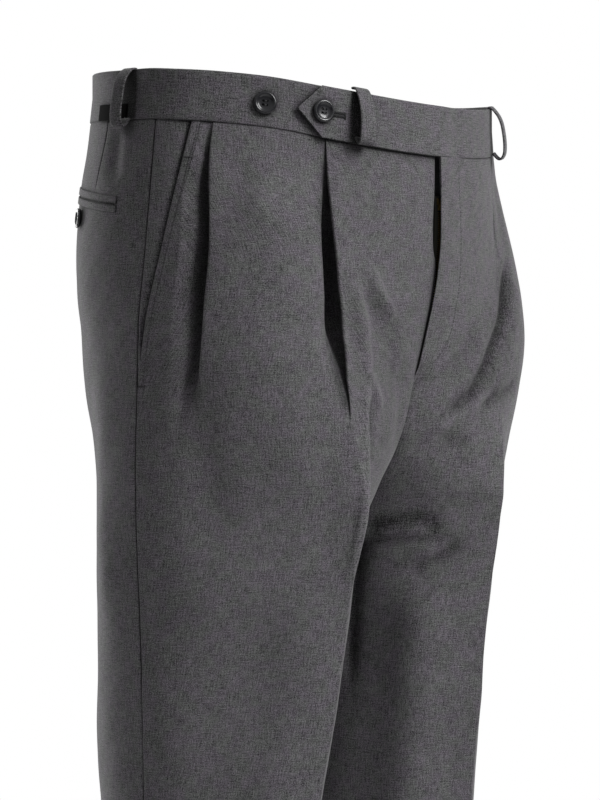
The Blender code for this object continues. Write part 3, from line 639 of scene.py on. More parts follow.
def front_corners(z, side):
    """All corners (place, out) across a front panel at one height."""
    here = section(z)
    side_pleat = side_pleat_place(z)
    edge = front_edge_place(z)
    corners = run_to(fly_corners(z, side), here.crease - 3.0, 6)
    front_pleat = LEFT_PLEAT if side > 0 else RIGHT_PLEAT
    shoulder = 0.4 - 0.34 * smooth_step((-135 - z) / 30)
    fold = here.crease + (0.0 if side > 0 else RIGHT_PLEAT_PLACE(z)[0])
    corners += [(fold + along, out) for along, out in pleat_profile(front_pleat, z, shoulder)]
    corners = run_to(corners, side_pleat - 3.0, 7)
    corners += [(side_pleat + along, out) for along, out in pleat_profile(SIDE_PLEAT, z, 0.24)]
    rolled = smooth_step((z - POCKET_END_Z) / 8)
    start, stop = corners[-1][0], edge - 6.4
    corners += [(start + (stop - start) * share, 0.0) for share in (0.3, 0.65, 1.0)]
    corners += [(edge - 5.4, 0.0), (edge - 4.6, -0.35 * rolled), (edge - 3.8, 0.0)]
    return corners + edge_forms(edge, -1, rolled)


# Fine columns round each of those corners but the first and the last
FRONT_STEPS = (
    [1, 3, 3, 3] + [4, 7, 7, 8] + [6, 6, 6, 6, 6, 5]
    + [4, 4, 4, 4, 4, 4, 5, 6, 6] + [6, 6, 6, 6, 6, 6, 4]
    + [4, 4, 4, 4, 4, 4, 5, 6, 6] + [5, 5, 3] + [2, 2, 2] + [3, 3, 3, 2]
)


def panel_grid(corner_rows, steps, side, folds, shades, origin, seed):
    """Points and flat-cloth places of a panel, from each row's corners."""
    weights = bspline_weights(steps)
    heights = PANEL_ROWS
    samples = np.array([weights @ np.array(corners, float) for corners in corner_rows])
    places, outs = samples[..., 0], samples[..., 1]
    starts = np.array([origin(z) for z in heights])
    across, tall = places - starts[:, None], np.repeat(heights[:, None], places.shape[1], axis=1)
    outs = outs + fold_relief(folds, side, across, tall) + undulation(side, across, tall, seed) + FACE
    outs = outs + np.array([top_tuck(z) for z in heights])[:, None]
    rows = [on_body(z, places[i], outs[i], side) for i, z in enumerate(heights)]
    steps_along = np.linalg.norm(np.diff(samples, axis=1), axis=-1)
    travelled = np.concatenate([np.zeros((len(heights), 1)), np.cumsum(steps_along, axis=1)], axis=1)
    anchor = np.array([np.interp(0.0, across[i], travelled[i]) for i in range(len(heights))])
    # painted shade in narrow fold troughs and from the shade tables, painted light on narrow ridges and
    # where the tables lift it
    painted_light_and_shade = fold_relief(folds, side, across, tall, CRISP_WIDTH) + fold_relief(shades, side, across, tall)
    flat = [np.stack([travelled[i] - anchor[i], tall[i], painted_light_and_shade[i]], axis=-1) for i in range(len(heights))]
    for rise, dip in HEM_TURN:
        rows.append(on_body(HEM_Z + rise, places[-1], outs[-1] + dip, side))
        level = np.full(places[-1].shape, HEM_Z - rise)
        flat.append(np.stack([travelled[-1] - anchor[-1], level, 0 * level], axis=-1))
    return np.array(rows), np.array(flat), samples, outs


def add_front(name, side, wool):
    """A front panel; gives back its rows' samples and outs, which its stitches follow."""
    corners = [front_corners(z, side) for z in PANEL_ROWS]
    points, flat, samples, outs = panel_grid(
        corners, FRONT_STEPS, side, FRONT_FOLDS, FRONT_SHADES, lambda z: section(z).crease, seed=1.3
    )
    front = add_grid(name + "_cloth", points, flat, flip=side > 0)
    finish(front, wool, name)
    return samples, outs


def back_corners(z):
    """All corners (place, out) across a back panel at one height."""
    here = section(z)
    first = here.outseam + SEAM_GAP / 2
    last = here.end - (0 if z > FORK_Z else SEAM_GAP / 2)
    dart_place, dart_depth = BACK_DART(z)
    dart_place = min(dart_place, 0.45 * (last - first))
    dart = first + dart_place
    corners = run_to(edge_forms(first, 1, 0.0), dart - 3.0, 5)
    corners += [(dart - 1.0, 0.0), (dart, -dart_depth), (dart + 0.4, 0.0), (dart + 2.0, 0.0)]
    return run_to(corners, last - 4.0, 10) + edge_forms(last, -1, 0.0)


BACK_STEPS = [1, 3, 3, 3] + [5] * 5 + [3, 3, 3, 3] + [5] * 10 + [3, 3, 3, 2]


def add_back(name, side, wool):
    """A back panel, from the outseam to the centre back or inseam."""
    corners = [back_corners(z) for z in PANEL_ROWS]
    points, flat, *_ = panel_grid(
        corners, BACK_STEPS, side, BACK_FOLDS, BACK_SHADES, lambda z: section(z).outseam, seed=4.1
    )
    back = add_grid(name + "_cloth", points, flat, flip=side > 0)
    return finish(back, wool, name)


FACING_STEPS = [3, 3, 6, 5, 2, 2, 2]
FACING_DEPTH = 3.2     # how far it lies behind the front panel
MOUTH_GROOVE = 2.8     # past the front's edge, where it starts to come up to the seam
MOUTH_SHADE, MOUTH_SHADE_WIDTH = -6.0, 2.4


def add_facing(name, side, wool):
    """The cloth seen behind the pocket mouth; it passes under the front panel's edge."""
    rows, flat = [], []
    heights = [z for z in PANEL_ROWS if z >= POCKET_END_Z - 2]
    weights = bspline_weights(FACING_STEPS)
    for z in heights:
        mouth = front_edge_place(z)
        end = section(z).outseam - SEAM_GAP / 2
        shown = smooth_step((end - mouth - 1.0) / 6.0)
        groove = mouth + MOUTH_GROOVE * shown
        behind, risen = -FACING_DEPTH, -FACING_DEPTH * (1 - shown)
        corners = [
            (mouth - 9.0, behind), (mouth - 4.0, behind), (mouth + 0.4 * shown, behind),
            (groove + 1.2 * shown, behind * (1 - 0.8 * shown)), (end - 2.6 * shown, risen),
            (end - 0.8 * shown, risen - 0.15), (end - 0.1, risen - 0.8), (end, risen - 1.3),
            (end, risen - 1.7),
        ]
        samples = weights @ np.array(corners)
        outs = samples[:, 1] + FACE + top_tuck(z)
        rows.append(on_body(z, samples[:, 0], outs, side))
        # painted shade along the pocket mouth, just past the front's edge
        shade = MOUTH_SHADE * shown * np.exp(-((samples[:, 0] - mouth) / MOUTH_SHADE_WIDTH) ** 2)
        flat.append(np.stack([samples[:, 0], 0 * samples[:, 0] + z, shade], axis=-1))
    facing = add_grid(name + "_cloth", np.array(rows), np.array(flat), flip=side > 0)
    return finish(facing, wool, name)


def finish(thing, material, node=None):
    """Gives a piece its material and its body, and hides the solid that it stands for."""
    thing.data.materials.append(material)
    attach(thing, "root")
    if node:
        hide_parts(node)
    return thing


# ---------------------------------------------------------------- waistband and its loops

BAND_TOP = BAND_HEIGHT / 2
BAND_COLUMNS = 190
TAB_RAMP = 26.0        # how far before the centre front the left waistband starts to come out
TAB_RAISE = {"most": 1.7, "start": 92, "over": 24}
# Painted shade on the waistband, behind each loop, towards the right side and under a lapped edge
LOOP_SHADE = {"depth": -7.5, "reach": 6.0, "fade": 3.0}
SIDE_SHADE = {"depth": 1.1, "middle": 195, "width": 55}
LAP_SHADE = 8.0
# Painted shade: loops farther round to the side are a little darker
LOOP_SIDE_SHADE = {"depth": -2.4, "start": 150, "over": 60}


def strip_outline(high, low, half, rows=15, turns=7):
    """Closed outline (row, out) of a strip: down its face, round its lower edge and up its back."""
    radius = min(half, (high - low) / 2) * 0.8
    angles = np.linspace(0, math.pi, turns)
    face = [(row, half) for row in np.linspace(high - radius, low + radius, rows)]
    lower = [(low + radius - radius * math.sin(a), half * math.cos(a)) for a in angles[1:-1]]
    behind = [(row, -half) for row in np.linspace(low + radius, high - radius, rows)]
    upper = [(high - radius + radius * math.sin(a), -half * math.cos(a)) for a in angles[1:-1]]
    return np.array(face + lower + behind + upper)


def band_shade(side, place):
    """Painted shade of the waistband behind each loop, and round towards the right side."""
    behind = 0.0
    for _, loop_side, loop_place, *_ in LOOPS:
        if loop_place:
            apart = abs(place * side - loop_place * loop_side)
            behind += 1 - smooth_step((apart - LOOP_SHADE["reach"]) / LOOP_SHADE["fade"])
    shade = LOOP_SHADE["depth"] * behind
    if side < 0:
        off_middle = (place - SIDE_SHADE["middle"]) / SIDE_SHADE["width"]
        shade -= SIDE_SHADE["depth"] * math.exp(-off_middle ** 2)
    return shade


def band_rings(columns):
    """Rings of a waistband strip; a column is (signed place, middle out, high row, low row, half wall)."""
    rings, flat = [], []
    for side, place, out, high, low, half in columns:
        shade = band_shade(side, place)
        outline = strip_outline(high, low, half)
        bulge = 0.18 * np.sin(place / 31.0) + 0.12 * np.sin(place / 13.0 + 1.0)
        ring = [
            on_band(row, place, out + across + (bulge if across > 0 else 0), side)
            for row, across in outline
        ]
        rings.append(ring)
        # painted shadow on the lower edge of a strip that lies over another
        lapped = LAP_SHADE * smooth_step(out - 0.4)
        flat.append([
            (row, place, shade - (lapped if row < low + half and across < 0.9 * half else 0.0))
            for row, across in outline
        ])
    return np.array(rings), np.array(flat)


def add_band_right(wool):
    """The right waistband, from the centre front to the centre back."""
    end = section(0.0).end
    places = np.linspace(1.0, end - 0.2, BAND_COLUMNS)
    half = BAND_CLOTH / 2
    columns = [(-1, place, 0.0, BAND_TOP, -17.3, half) for place in places]
    rings, flat = band_rings(columns)
    band = add_tube("waistband_right_cloth", rings, flat)
    return finish(band, wool, "waistband_right")


def tab_raise(place):
    """How far the tab's point stands off the right waistband."""
    return TAB_RAISE["most"] * smooth_step((place - TAB_RAISE["start"]) / TAB_RAISE["over"])


def add_band_left(wool):
    """The left waistband runs on past the centre front as a pointed tab that laps over the right one."""
    end = section(0.0).end
    half = TAB_CLOTH / 2
    columns = []
    for place in np.linspace(end - 0.2, 0.0, BAND_COLUMNS):
        came_out = 1 - smooth_step(place / TAB_RAMP)
        columns.append((1, place, TAB_OUT * came_out, BAND_TOP, -BAND_TOP - 0.9 * came_out, half))
    straight = np.linspace(2.4, TAB["shoulder"] - 0.8, 42)
    pointed = TAB["shoulder"] + (TAB["tip"] - TAB["shoulder"]) * np.linspace(0.0, 1.0, 14)
    for place in np.concatenate([straight, pointed]):
        taper = max(0.0, (place - TAB["shoulder"]) / (TAB["tip"] - TAB["shoulder"]))
        high = BAND_TOP + (TAB["tip_row"] + TAB["blunt"] / 2 - BAND_TOP) * taper
        low = -18.4 + (TAB["tip_row"] - TAB["blunt"] / 2 + 18.4) * taper
        columns.append((1, -place, TAB_OUT + tab_raise(place), high, low, half))
    rings, flat = band_rings(columns)
    band = add_tube("waistband_left_cloth", rings, flat)
    return finish(band, wool, "waistband_left")


def loop_row(row, top, low):
    """The loop's middle stays as drawn; its two bends are moved to the rows given."""
    first_top, last_low = LOOP_LINE[1][1], LOOP_LINE[9][1]
    if row > 10:
        return 10 + (row - 10) * (top - 10) / (first_top - 10)
    if row < -5:
        return -5 + (row + 5) * (low + 5) / (last_low + 5)
    return row


def add_loop(name, side, place, raised, top, low, wool):
    """A belt loop: folded over the waistband's top edge, bowed out, turned back up into its seam."""
    if place is None:
        place = section(0.0).end
    corners = [
        (out + (raised if row < 16 or out > 1 else 0.0), loop_row(row, top, low)) for out, row in LOOP_LINE
    ]
    line = bspline_weights([4] * (len(corners) - 2)) @ np.array(corners)
    along = np.concatenate([[0.0], np.cumsum(np.linalg.norm(np.diff(line, axis=0), axis=1))])
    tangent = np.gradient(line, axis=0)
    tangent /= np.linalg.norm(tangent, axis=1, keepdims=True)
    normal = np.stack([-tangent[:, 1], tangent[:, 0]], axis=-1)
    half_width, half = LOOP_WIDTH / 2, LOOP_CLOTH / 2
    angles = np.linspace(0, math.pi, 6)
    face = [(a, half) for a in np.linspace(-half_width + half, half_width - half, 7)]
    right = [(half_width - half + half * math.sin(a), half * math.cos(a)) for a in angles[1:-1]]
    behind = [(-a, -half) for a, _ in face]
    left = [(-half_width + half - half * math.sin(a), -half * math.cos(a)) for a in angles[1:-1]]
    outline = face + right + behind + left
    shade = LOOP_SIDE_SHADE["depth"] * smooth_step((place - LOOP_SIDE_SHADE["start"]) / LOOP_SIDE_SHADE["over"])
    rings, flat = [], []
    for (out, row), (normal_out, normal_row), travelled in zip(line, normal, along):
        ring = [
            on_band(row + normal_row * depth, place + across, BAND_OUT + out + normal_out * depth, side)
            for across, depth in outline
        ]
        rings.append(ring)
        flat.append([(across, travelled, shade) for across, _ in outline])
    loop = add_tube(name + "_cloth", np.array(rings), np.array(flat), flip=side > 0)
    return finish(loop, wool, name)


# ---------------------------------------------------------------- back pockets and label


LABEL = {"start": 27.6, "length": 40.0, "high": -6.0, "low": -17.4, "half": 0.45, "out": 0.65}
SLIT_SHADE, SLIT_SHADE_WIDTH = -8.0, 1.1


def pocket_height(along):
    """Row height of the back pocket's mouth at a distance behind the outseam."""
    return BACK_POCKET["height"] + BACK_POCKET["slope"] * (along - BACK_POCKET["start"])


def add_welt(name, side, upper, wool):
    """One rounded lip of the back pocket."""
    inner = BACK_POCKET["slit"] / 2
    outer = inner + BACK_POCKET["welt"]
    edges = (outer, inner) if upper else (-inner, -outer)
    rings, flat = [], []
    for along in np.linspace(BACK_POCKET["start"], BACK_POCKET["start"] + BACK_POCKET["length"], 66):
        middle = pocket_height(along)
        outline = strip_outline(edges[0], edges[1], 0.75, rows=7, turns=5)
        ring = []
        for offset, out in outline:
            z = middle + offset
            place = section(round(z, 1)).outseam + along
            ring.append(on_body(round(z, 1), place, FACE + 0.1 + out, side, heights=z))
        rings.append(ring)
        # painted shade on the welts' inner edges, in the slit between them
        flat.append([
            (offset, along, SLIT_SHADE * math.exp(-(offset / SLIT_SHADE_WIDTH) ** 2))
            for offset, _ in outline
        ])
    welt = add_tube(name + "_cloth", np.array(rings), np.array(flat), flip=side < 0)
    return finish(welt, wool, name)


def add_label(black):
    """Small bare woven label on the right waistband, just above its seam."""
    start = section(0.0).outseam + LABEL["start"]
    rings, flat = [], []
    for place in np.linspace(start, start + LABEL["length"], 40):
        outline = strip_outline(LABEL["high"], LABEL["low"], LABEL["half"], rows=9, turns=5)
        rings.append([on_band(row, place, BAND_OUT + LABEL["out"] + out, -1) for row, out in outline])
        flat.append([(place, row) for row, _ in outline])
    label = add_tube("side_label_cloth", np.array(rings), np.array(flat))
    return finish(label, black, "side_label")


# ---------------------------------------------------------------- buttons

# Buttons of the waistband: (name, place along it, row, whether it stands on the tab)
WAIST_BUTTONS = [("waist_button_spare", 140.5, -1.3, False), ("waist_button", 101.4, -0.3, True)]
BACK_BUTTON = {"along": 65.0, "below": 14.0}      # from the pocket's front end, and below its mouth
BUTTON_CLEAR = SEAM_GAP + 0.15
HOLE_REACH = 1.9       # of each hole's middle from the button's own
HOLE_RADIUS = 0.85


def standing_on(spot, reach, lifted):
    """Frame with +Z out of the cloth, lifted off it; spot(across, up) gives a point near its middle."""
    x_axis = (spot(reach, 0) - spot(-reach, 0)).normalized()
    upward = spot(0, reach) - spot(0, -reach)
    z_axis = x_axis.cross(upward).normalized()
    y_axis = z_axis.cross(x_axis)
    turn = Matrix((x_axis, y_axis, z_axis)).transposed().to_4x4()
    return Matrix.Translation(spot(0, 0) + z_axis * lifted * MM) @ turn


def button_profile(radius):
    """Half outline (radius, height) of a turned button: raised rim, dished middle, flat back."""
    top = BUTTON_THICKNESS
    return [
        (0.0, 1.5), (0.3 * radius, 1.52), (0.52 * radius, 1.62), (0.62 * radius, 1.85),
        (0.70 * radius, 2.35), (0.76 * radius, 2.68), (0.83 * radius, top), (0.90 * radius, 2.72),
        (0.96 * radius, 2.4), (radius, 1.8), (radius, 1.1), (0.95 * radius, 0.45),
        (0.84 * radius, 0.05), (0.0, 0.0),
    ]


def turned_mesh(profile, around):
    """Points and faces of a body turned about +Z, from its half outline (radius, height)."""
    angles = np.linspace(0, math.tau, around, endpoint=False)
    rings = [
        [(r * math.cos(a) * MM, r * math.sin(a) * MM, h * MM) for a in angles]
        for r, h in profile[1:-1]
    ]
    points = np.array(rings).reshape(-1, 3)
    count = len(profile) - 2
    faces = grid_faces(count, around, flip=False, wrap=True)
    points = np.vstack([points, [(0, 0, profile[0][1] * MM), (0, 0, profile[-1][1] * MM)]])
    top, bottom = count * around, count * around + 1
    last = (count - 1) * around
    for k in range(around):
        after = (k + 1) % around
        faces.append([top, after, k])
        faces.append([bottom, last + k, last + after])
    return points, faces


def add_drill(name, matrix):
    """Four pins that cut a button's holes."""
    drill = bpy.data.meshes.new(name + "_drill")
    builder = bmesh.new()
    for corner in range(4):
        angle = math.pi / 4 + corner * math.pi / 2
        spot = Matrix.Translation(Vector((math.cos(angle), math.sin(angle), 0.5)) * HOLE_REACH * MM)
        bmesh.ops.create_cone(
            builder, cap_ends=True, segments=20, radius1=HOLE_RADIUS * MM, radius2=HOLE_RADIUS * MM,
            depth=8 * MM, matrix=spot,
        )
    builder.to_mesh(drill)
    builder.free()
    cutter = bpy.data.objects.new(name + "_drill", drill)
    bpy.context.scene.collection.objects.link(cutter)
    cutter.matrix_world = matrix
    return cutter


def add_button(name, radius, matrix, horn, thread):
    """A turned four-hole button with its thread, standing at a frame."""
    profile = button_profile(radius)
    button = add_mesh(name + "_turned", *turned_mesh(profile, around=64))
    button.matrix_world = matrix
    cutter = add_drill(name, matrix)
    holes = button.modifiers.new("holes", "BOOLEAN")
    holes.operation = "DIFFERENCE"
    holes.solver = "EXACT"
    holes.object = cutter
    bpy.context.view_layer.update()
    apply_modifiers(button)
    bpy.data.objects.remove(cutter)
    button.data.set_sharp_from_angle(angle=math.radians(40))
    finish(button, horn, name)
    add_button_thread(name, matrix, thread)


def apply_modifiers(thing):
    """Puts a piece's modifiers into its mesh."""
    graph = bpy.context.evaluated_depsgraph_get()
    mesh = bpy.data.meshes.new_from_object(thing.evaluated_get(graph))
    thing.modifiers.clear()
    thing.data = mesh


def add_button_thread(name, matrix, thread):
    """Two bars of sewing thread through the four holes, several strands each."""
    strands = []
    corner = HOLE_REACH * math.sqrt(0.5)
    for height in (-corner, corner):
        for shift in (-0.28, 0.0, 0.28):
            line = [(-corner - 0.1, height + shift, 0.6), (-corner + 0.25, height + shift, 1.7),
                    (0.0, height + shift * 1.3, 2.0), (corner - 0.25, height + shift, 1.7),
                    (corner + 0.1, height + shift, 0.6)]
            strands.append([matrix @ (Vector(point) * MM) for point in line])
    return finish(add_threads(name + "_thread", strands, 0.2), thread)


def add_buttons(horn, thread):
    """The fastened and the spare waist button, and one under each back pocket."""
    for name, place, row, on_tab in WAIST_BUTTONS:
        def band_spot(across, up, place=place, row=row, on_tab=on_tab):
            out = TAB_OUT + TAB_CLOTH / 2 + tab_raise(place - across) if on_tab else BAND_OUT
            return Vector(on_band(row + up, place - across, out, -1))

        matrix = standing_on(band_spot, BUTTON_RADIUS, BUTTON_CLEAR)
        add_button(name, BUTTON_RADIUS, matrix, horn, thread)
    along = BACK_POCKET["start"] + BACK_BUTTON["along"]
    row = pocket_height(along) - BACK_BUTTON["below"]
    for name, side in (("back_button_right", -1), ("back_button_left", 1)):
        def seat_spot(across, up, side=side):
            return Vector(on_body(row + up, section(row + up).outseam + along + side * across, FACE, side))

        matrix = standing_on(seat_spot, BACK_BUTTON_RADIUS, BUTTON_CLEAR)
        add_button(name, BACK_BUTTON_RADIUS, matrix, horn, thread)


# ---------------------------------------------------------------- threads


def add_threads(name, lines, radius, sides=6):
    """One mesh of thin cords, each through its own few points."""
    points, faces = [], []
    for line in lines:
        line = [Vector(point) for point in line]
        first = len(points)
        for i, point in enumerate(line):
            ahead = line[min(i + 1, len(line) - 1)] - line[max(i - 1, 0)]
            ahead.normalize()
            across = ahead.orthogonal().normalized()
            other = ahead.cross(across)
            ends = 0.55 if i in (0, len(line) - 1) else 1.0
            for k in range(sides):
                angle = math.tau * k / sides
                spot = point + (across * math.cos(angle) + other * math.sin(angle)) * radius * ends * MM
                points.append(spot)
        for i in range(len(line) - 1):
            for k in range(sides):
                here, after = first + i * sides, first + (i + 1) * sides
                faces.append([here + k, here + (k + 1) % sides, after + (k + 1) % sides, after + k])
        faces.append([first + k for k in reversed(range(sides))])
        faces.append([first + (len(line) - 1) * sides + k for k in range(sides)])
    return add_mesh(name, np.array([tuple(point) for point in points]), faces)


def stitches(high, low, length=2.2, gap=0.7):
    """Cords of one row of stitches; high and low are its line on the cloth's face and just below it."""
    steps = np.linalg.norm(np.diff(high, axis=0), axis=1) / MM
    along = np.concatenate([[0.0], np.cumsum(steps)])
    cords = []
    for start in np.arange(0.5, along[-1] - length, length + gap):
        cord = []
        for share, line in ((0.0, low), (0.25, high), (0.75, high), (1.0, low)):
            cord.append([np.interp(start + share * length, along, line[:, k]) for k in range(3)])
        cords.append(cord)
    return cords


def sewn_line(samples, outs, side, place_at, top, bottom, clear):
    """Points just off a front panel's face, one for each of its rows between two heights."""
    spots = []
    for z, row, out in zip(PANEL_ROWS, samples, outs):
        if bottom <= z <= top:
            place = place_at(z)
            near = np.abs(row[:, 0] - place).argsort()[:6]
            near = near[row[near, 0].argsort()]
            spots.append(on_body(z, place, np.interp(place, row[near, 0], out[near]) + clear, side))
    return np.array(spots)


def bar_tack(centre_z, side, samples, outs):
    """Close short stitches that lock an end of the pocket mouth."""
    index = np.abs(PANEL_ROWS - centre_z).argmin()
    z, row, out = PANEL_ROWS[index], samples[index], outs[index]
    edge = front_edge_place(z)
    cords = []
    for place in np.arange(edge - 6.6, edge - 0.6, 0.5):
        near = np.abs(row[:, 0] - place).argsort()[:4]
        face = out[near].max()
        bowed = ((-1.0, -0.2), (0, 0.3), (1.0, -0.2))
        cords.append([on_body(z + up, place, face + clear, side) for up, clear in bowed])
    return cords


# The fly's stitching, as (z, place), and the heights of the pocket mouth's two bar tacks
J_STITCH = Table((-20, 26), (-150, 26), (-165, 23.5), (-178, 17), (-186, 9), (-190, 2.4))
BAR_TACKS = (-42.0, -201.0)
MOUTH_STITCH = 4.6     # from the pocket mouth's edge


def add_front_stitches(name, side, samples, outs, matching):
    """Stitching along the pocket mouth with its two bar tacks, and on the left front round the fly."""
    def pocket_line(z):
        return front_edge_place(z) - MOUTH_STITCH

    lines = [(pocket_line, -19.0, -200.0, 0.16)]
    if side > 0:
        lines.append((lambda z: J_STITCH(z)[0], -19.0, -190.0, 0.1))
    cords = []
    for place_at, top, bottom, clear in lines:
        high = sewn_line(samples, outs, side, place_at, top, bottom, clear)
        low = sewn_line(samples, outs, side, place_at, top, bottom, clear - 0.35)
        cords += stitches(high, low)
    for centre_z in BAR_TACKS:
        cords += bar_tack(centre_z, side, samples, outs)
    return finish(add_threads(name + "_stitches", cords, 0.18, 5), matching)


BUTTONHOLE = {"row": -0.8, "start": 86.0, "stop": 99.0}


def add_buttonhole(thread):
    """Worked buttonhole of the waistband's tab: purl stitches both sides of its slit, and a bar."""
    row, start, stop = BUTTONHOLE.values()

    def spot(place, up, clear):
        return on_band(row + up, place, TAB_OUT + TAB_CLOTH / 2 + tab_raise(place) + clear, -1)

    cords = []
    for place in np.arange(start, stop, 0.62):
        for way in (-1, 1):
            bowed = ((0.1, -0.1), (0.7, 0.22), (1.5, 0.2), (2.1, -0.1))
            cords.append([spot(place, way * up, clear) for up, clear in bowed])
    for place in np.arange(start - 1.6, start - 0.2, 0.5):
        bowed = ((-2.6, -0.1), (-1.8, 0.25), (1.8, 0.25), (2.6, -0.1))
        cords.append([spot(place, up, clear) for up, clear in bowed])
    return finish(add_threads("tab_buttonhole", cords, 0.26, 5), thread)


# ---------------------------------------------------------------- zip

ZIP_TAPE_FACES = (-3.3, -2.5)
TOOTH = {"pitch": 1.0, "half_width": 1.6, "half_height": 0.36, "offset": 0.75, "faces": (-2.0, -0.8)}
# Blocks of the slider and its pull, as (half width, (lower, upper z), (inner, outer face))
SLIDER_BLOCKS = [
    (3.8, (-56.0, -50.4), (-2.0, -0.4)), (2.8, (-60.8, -56.0), (-2.0, -0.4)),
    (1.0, (-57.0, -51.5), (-0.4, 0.1)), (1.7, (-60.6, -54.5), (-0.25, 0.15)),
]


def fly_block(places, heights, outs):
    """Eight corners in metres of a small block beneath the left front, for add_blocks."""
    return [
        on_body(z, place, out, 1) for z in heights for place, out in
        ((places[0], outs[0]), (places[1], outs[0]), (places[1], outs[1]), (places[0], outs[1]))
    ]


def add_blocks(name, blocks):
    """One mesh of small blocks, each from its eight corners."""
    faces = []
    for k in range(len(blocks)):
        quads = [(0, 1, 2, 3), (7, 6, 5, 4), (0, 4, 5, 1), (1, 5, 6, 2), (2, 6, 7, 3), (3, 7, 4, 0)]
        faces += [[8 * k + corner for corner in quad] for quad in quads]
    return add_mesh(name, np.array(blocks), faces)


def add_zip(brass, tape_cloth):
    """Woven tape, brass teeth that lock from both sides, and the slider drawn up to the top."""
    rings, flat = [], []
    near, far = ZIP["tape_from"], ZIP["tape_to"]
    inner, outer = ZIP_TAPE_FACES
    edges = [(near, inner), (far, inner), (far, outer), (near, outer)]
    for z in np.arange(ZIP["top"], ZIP["bottom"] - 1, -2.0):
        rings.append([on_body(z, place, out, 1) for place, out in edges])
        flat.append([(place, z) for place, _ in edges])
    tape = add_tube("zip_tape_woven", np.array(rings), np.array(flat), flip=True)
    finish(tape, tape_cloth, "zip_tape")
    teeth = []
    half, tall = TOOTH["half_width"], TOOTH["half_height"]
    for k, z in enumerate(np.arange(ZIP["bottom"] + 3.2, ZIP["top"] - 14.5, TOOTH["pitch"])):
        middle = ZIP["chain"] + (TOOTH["offset"] if k % 2 else -TOOTH["offset"])
        teeth.append(fly_block((middle - half, middle + half), (z - tall, z + tall), TOOTH["faces"]))
    slider = [
        fly_block((ZIP["chain"] - half, ZIP["chain"] + half), heights, faces)
        for half, heights, faces in SLIDER_BLOCKS
    ]
    chain = finish(add_blocks("zip_teeth", teeth), brass, "zip_chain")
    chain.data.shade_flat()
    pull = finish(add_blocks("zip_slider_and_pull", slider), brass, "zip_slider")
    pull.data.shade_flat()


# ---------------------------------------------------------------- materials


class Nodes:
    """Short names for building a material's node tree."""

    def __init__(self, name):
        self.material = bpy.data.materials.new(name)
        self.material.use_nodes = True
        self.tree = self.material.node_tree
        self.shader = self.tree.nodes["Principled BSDF"]

    def add(self, kind, **settings):
        node = self.tree.nodes.new(kind)
        for key, value in settings.items():
            setattr(node, key, value)
        return node

    def link(self, source, target):
        self.tree.links.new(source, target)

    def math(self, operation, first, second):
        node = self.add("ShaderNodeMath", operation=operation)
        for socket, value in zip(node.inputs, (first, second)):
            if isinstance(value, (int, float)):
                socket.default_value = value
            else:
                self.link(value, socket)
        return node.outputs[0]

    def stretched(self, source, scale):
        node = self.add("ShaderNodeVectorMath", operation="MULTIPLY")
        self.link(source, node.inputs[0])
        node.inputs[1].default_value = scale
        return node.outputs[0]

    def noise(self, source, scale, detail=2.0, roughness=0.5):
        """Noise between about -0.5 and 0.5; scale is how many of its grains there are per mm."""
        node = self.add("ShaderNodeTexNoise", noise_dimensions="3D")
        self.link(self.stretched(source, scale), node.inputs["Vector"])
        node.inputs["Scale"].default_value = 1.0
        node.inputs["Detail"].default_value = detail
        node.inputs["Roughness"].default_value = roughness
        return self.math("SUBTRACT", node.outputs["Fac"], 0.5)

    def tucked_shade(self):
        """Painted shade on the colour: 1 on open cloth, low in seams and folds and where pieces lie close
        to each other.
        """
        shade = 1.0
        for reach, power, floor in ((9.0, 1.5, 0.1), (60.0, 1.2, 0.4)):
            tucked = self.add("ShaderNodeAmbientOcclusion", samples=6)
            tucked.inputs["Distance"].default_value = reach * MM
            darkened = self.math("POWER", tucked.outputs["AO"], power)
            eased = self.math("ADD", self.math("MULTIPLY", darkened, 1 - floor), floor)
            shade = self.math("MULTIPLY", eased, shade)
        return shade

    def total(self, *terms):
        """Sum of (value, weight) pairs."""
        result = self.math("MULTIPLY", *terms[0])
        for value, weight in terms[1:]:
            result = self.math("ADD", result, self.math("MULTIPLY", value, weight))
        return result


